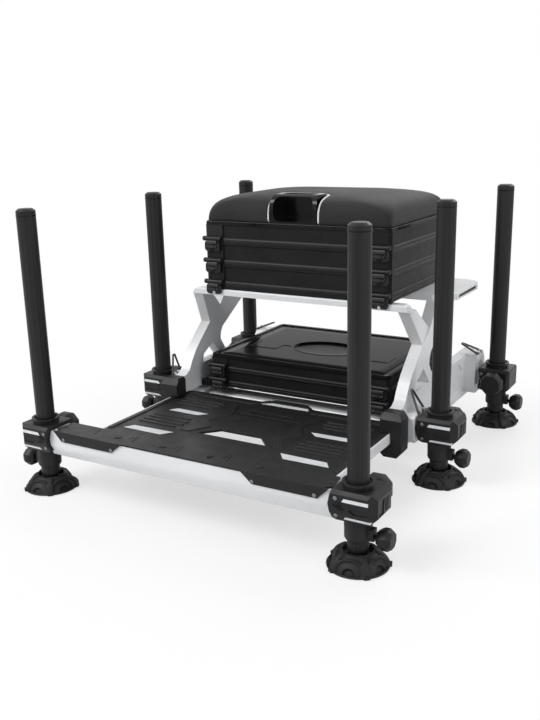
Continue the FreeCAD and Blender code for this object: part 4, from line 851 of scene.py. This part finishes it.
def make_cushion():
    rings = [rounded_ring(PAD_HALF, PAD_FRONT, PAD_REAR, inset, corner, PAD_BASE + up, PAD_LEAN)
             for inset, up, corner in PAD_SIDE]
    mesh = ring_mesh("cushion_skin", rings)
    piece = place("cushion_cover", mesh, FINISH["black_padding"], BODY_OF["cushion"], "black_padding")
    cut_recess(piece)
    remesh = piece.modifiers.new("remesh", "REMESH")
    remesh.mode = "VOXEL"
    remesh.voxel_size = 0.004
    apply_modifiers(piece)
    piece.data.materials.clear()
    piece.data.materials.append(FINISH["black_padding"])
    puff(piece, 0.0025)
    relax = piece.modifiers.new("relax", "SMOOTH")
    relax.factor = 0.5
    relax.iterations = 4
    finer = piece.modifiers.new("finer", "SUBSURF")
    finer.levels = 1
    finer.render_levels = 1
    apply_modifiers(piece)
    shade(piece, 80)
    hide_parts("cushion")
    return piece


def cut_recess(piece):
    """Take the room for the moulded grip out of the front of the cushion."""
    r = RECESS_HALF
    deep = PAD_FRONT + RECESS_DEEP
    low = PAD_BASE - 0.01
    high = PAD_TOP + 0.02
    outline = [(-r, PAD_FRONT - 0.02), (r, PAD_FRONT - 0.02)]
    for cx, start in ((r - RECESS_CORNER, 0), (-r + RECESS_CORNER, 90)):
        for number in range(7):
            a = math.radians(start + 90 * number / 6)
            outline.append((cx + RECESS_CORNER * math.cos(a), deep - RECESS_CORNER + RECESS_CORNER * math.sin(a)))
    rings = [[Vector((x, y, z)) for x, y in outline] for z in (low, high)]
    tool = bpy.data.objects.new("recess_tool", ring_mesh("recess_tool", rings))
    bpy.context.scene.collection.objects.link(tool)
    cut = piece.modifiers.new("cut", "BOOLEAN")
    cut.operation = "DIFFERENCE"
    cut.solver = "EXACT"
    cut.object = tool
    apply_modifiers(piece)
    bpy.data.objects.remove(tool)


cushion = make_cushion()


def edge_line(finder, x):
    """Points on the cushion's skin beside the recess, from its foot at the front up and back."""
    centre = Vector((x, PAD_FRONT + RECESS_DEEP - 0.006, PAD_BASE + 0.001))
    points = []
    for turn in range(0, 91, 6):
        away = Vector((0, -math.cos(math.radians(turn)), math.sin(math.radians(turn))))
        spot, _ = on_skin(finder, centre + away * 0.2, -away)
        if spot:
            points.append(spot + away * 0.0006)
    return points


def cushion_piping():
    """White piping round the recess and a dark bead round the cushion's foot."""
    finder = surface(cushion)
    body = BODY_OF["cushion"]
    off = RECESS_HALF + PIPING_OUT
    left = edge_line(finder, -off)
    right = edge_line(finder, off)
    back = []
    for x in (-0.050, -0.030, 0.0, 0.030, 0.050):
        deep = RECESS_DEEP + PIPING_BACK - (0.004 if abs(x) > 0.04 else 0)
        back.append(on_skin(finder, (x, PAD_FRONT + deep, PAD_TOP + 0.1), (0, 0, -1))[0])
    back = [point for point in back if point]
    line = left + back + list(reversed(right))
    cord_piece("recess_piping", line, 0.0019, PIPING, body, "black_padding")
    foot = rounded_ring(PAD_HALF, PAD_FRONT, PAD_REAR, 0.0, 0.010, PAD_BASE + 0.0012)
    cord_piece("foot_bead", foot, 0.0011, FINISH["black_gloss"], body, "black_padding", True)


cushion_piping()


# Studio

def floor_finish():
    """Pale floor that fades to the white backdrop away from the object."""
    s = Shader("studio_floor")
    s.fix(Roughness=0.55)
    s.link("Base Color", s.tint(s.noise(3.0), (0.86, 0.86, 0.865), (0.87, 0.87, 0.875)))
    distance = s.node("ShaderNodeVectorMath", Vector=s.place)
    distance.operation = "LENGTH"
    fade = s.between(distance.outputs["Value"], 0.64, 1.0, 0.48, 0.88)
    fade.node.interpolation_type = "SMOOTHSTEP"
    rays = s.tree.nodes.new("ShaderNodeLightPath")
    seen = s.node("ShaderNodeMath", Value=fade)
    seen.operation = "MULTIPLY"
    s.tree.links.new(rays.outputs["Is Camera Ray"], seen.inputs[1])
    glow = s.node("ShaderNodeEmission", Color=(1, 1, 1, 1), Strength=1.0)
    both = s.tree.nodes.new("ShaderNodeMixShader")
    s.tree.links.new(seen.outputs["Value"], both.inputs[0])
    s.tree.links.new(s.main.outputs[0], both.inputs[1])
    s.tree.links.new(glow.outputs[0], both.inputs[2])
    s.tree.links.new(both.outputs[0], s.tree.nodes["Material Output"].inputs["Surface"])
    return s.material


def make_floor():
    mesh = bpy.data.meshes.new("floor")
    reach = 14.0
    mesh.from_pydata([(-reach, -reach, 0), (reach, -reach, 0), (reach, reach, 0), (-reach, reach, 0)], [],
                     [(0, 1, 2, 3)])
    floor = bpy.data.objects.new("floor", mesh)
    bpy.context.scene.collection.objects.link(floor)
    floor.location.z = -0.0003
    mesh.materials.append(floor_finish())


def make_world():
    world = bpy.data.worlds.new("studio")
    bpy.context.scene.world = world
    world.use_nodes = True
    tree = world.node_tree
    lit = tree.nodes["Background"]
    lit.inputs["Color"].default_value = (0.95, 0.97, 1.0, 1)
    lit.inputs["Strength"].default_value = 0.38
    seen = tree.nodes.new("ShaderNodeBackground")
    seen.inputs["Color"].default_value = (1, 1, 1, 1)
    seen.inputs["Strength"].default_value = 1.0
    rays = tree.nodes.new("ShaderNodeLightPath")
    both = tree.nodes.new("ShaderNodeMixShader")
    shown = rays.outputs["Is Camera Ray"]
    for kind in ("Is Glossy Ray", "Is Transmission Ray"):
        added = tree.nodes.new("ShaderNodeMath")
        added.use_clamp = True
        tree.links.new(shown, added.inputs[0])
        tree.links.new(rays.outputs[kind], added.inputs[1])
        shown = added.outputs["Value"]
    tree.links.new(shown, both.inputs[0])
    tree.links.new(lit.outputs[0], both.inputs[1])
    tree.links.new(seen.outputs[0], both.inputs[2])
    tree.links.new(both.outputs[0], tree.nodes["World Output"].inputs["Surface"])


def make_light(name, place_at, target, size, power):
    data = bpy.data.lights.new(name, "AREA")
    data.shape = "RECTANGLE"
    data.size = size[0]
    data.size_y = size[1]
    data.energy = power
    light = bpy.data.objects.new(name, data)
    bpy.context.scene.collection.objects.link(light)
    light.location = place_at
    look = Vector(target) - Vector(place_at)
    light.rotation_euler = look.to_track_quat("-Z", "Y").to_euler()


def make_camera():
    """The photograph's camera, solved from the box edges and posts."""
    azimuth = math.radians(30.79)
    pitch = math.radians(15.54)
    roll = math.radians(-1.37)
    back = Vector((math.sin(azimuth) * math.cos(pitch), -math.cos(azimuth) * math.cos(pitch), math.sin(pitch)))
    right = (-back).cross(Vector((0, 0, 1))).normalized()
    up = right.cross(-back)
    tilted_right = math.cos(roll) * right + math.sin(roll) * up
    tilted_up = -math.sin(roll) * right + math.cos(roll) * up
    data = bpy.data.cameras.new("camera")
    data.sensor_width = 36.0
    data.sensor_fit = "AUTO"
    data.lens = 42.58
    camera = bpy.data.objects.new("camera", data)
    bpy.context.scene.collection.objects.link(camera)
    turn = Matrix((tilted_right, tilted_up, back)).transposed().to_4x4()
    camera.matrix_world = Matrix.Translation((0.852, -1.511, 0.689)) @ turn
    bpy.context.scene.camera = camera


make_floor()
make_world()
make_light("key", (-1.6, -1.9, 2.6), (0, -0.1, 0.2), (1.8, 1.8), 86)
make_light("side", (2.6, -0.4, 1.5), (0, 0, 0.25), (1.2, 1.8), 22)
make_light("back", (0.4, 2.4, 2.2), (0, 0.1, 0.3), (2.2, 1.2), 34)
make_camera()
bpy.context.scene.view_settings.view_transform = "Standard"
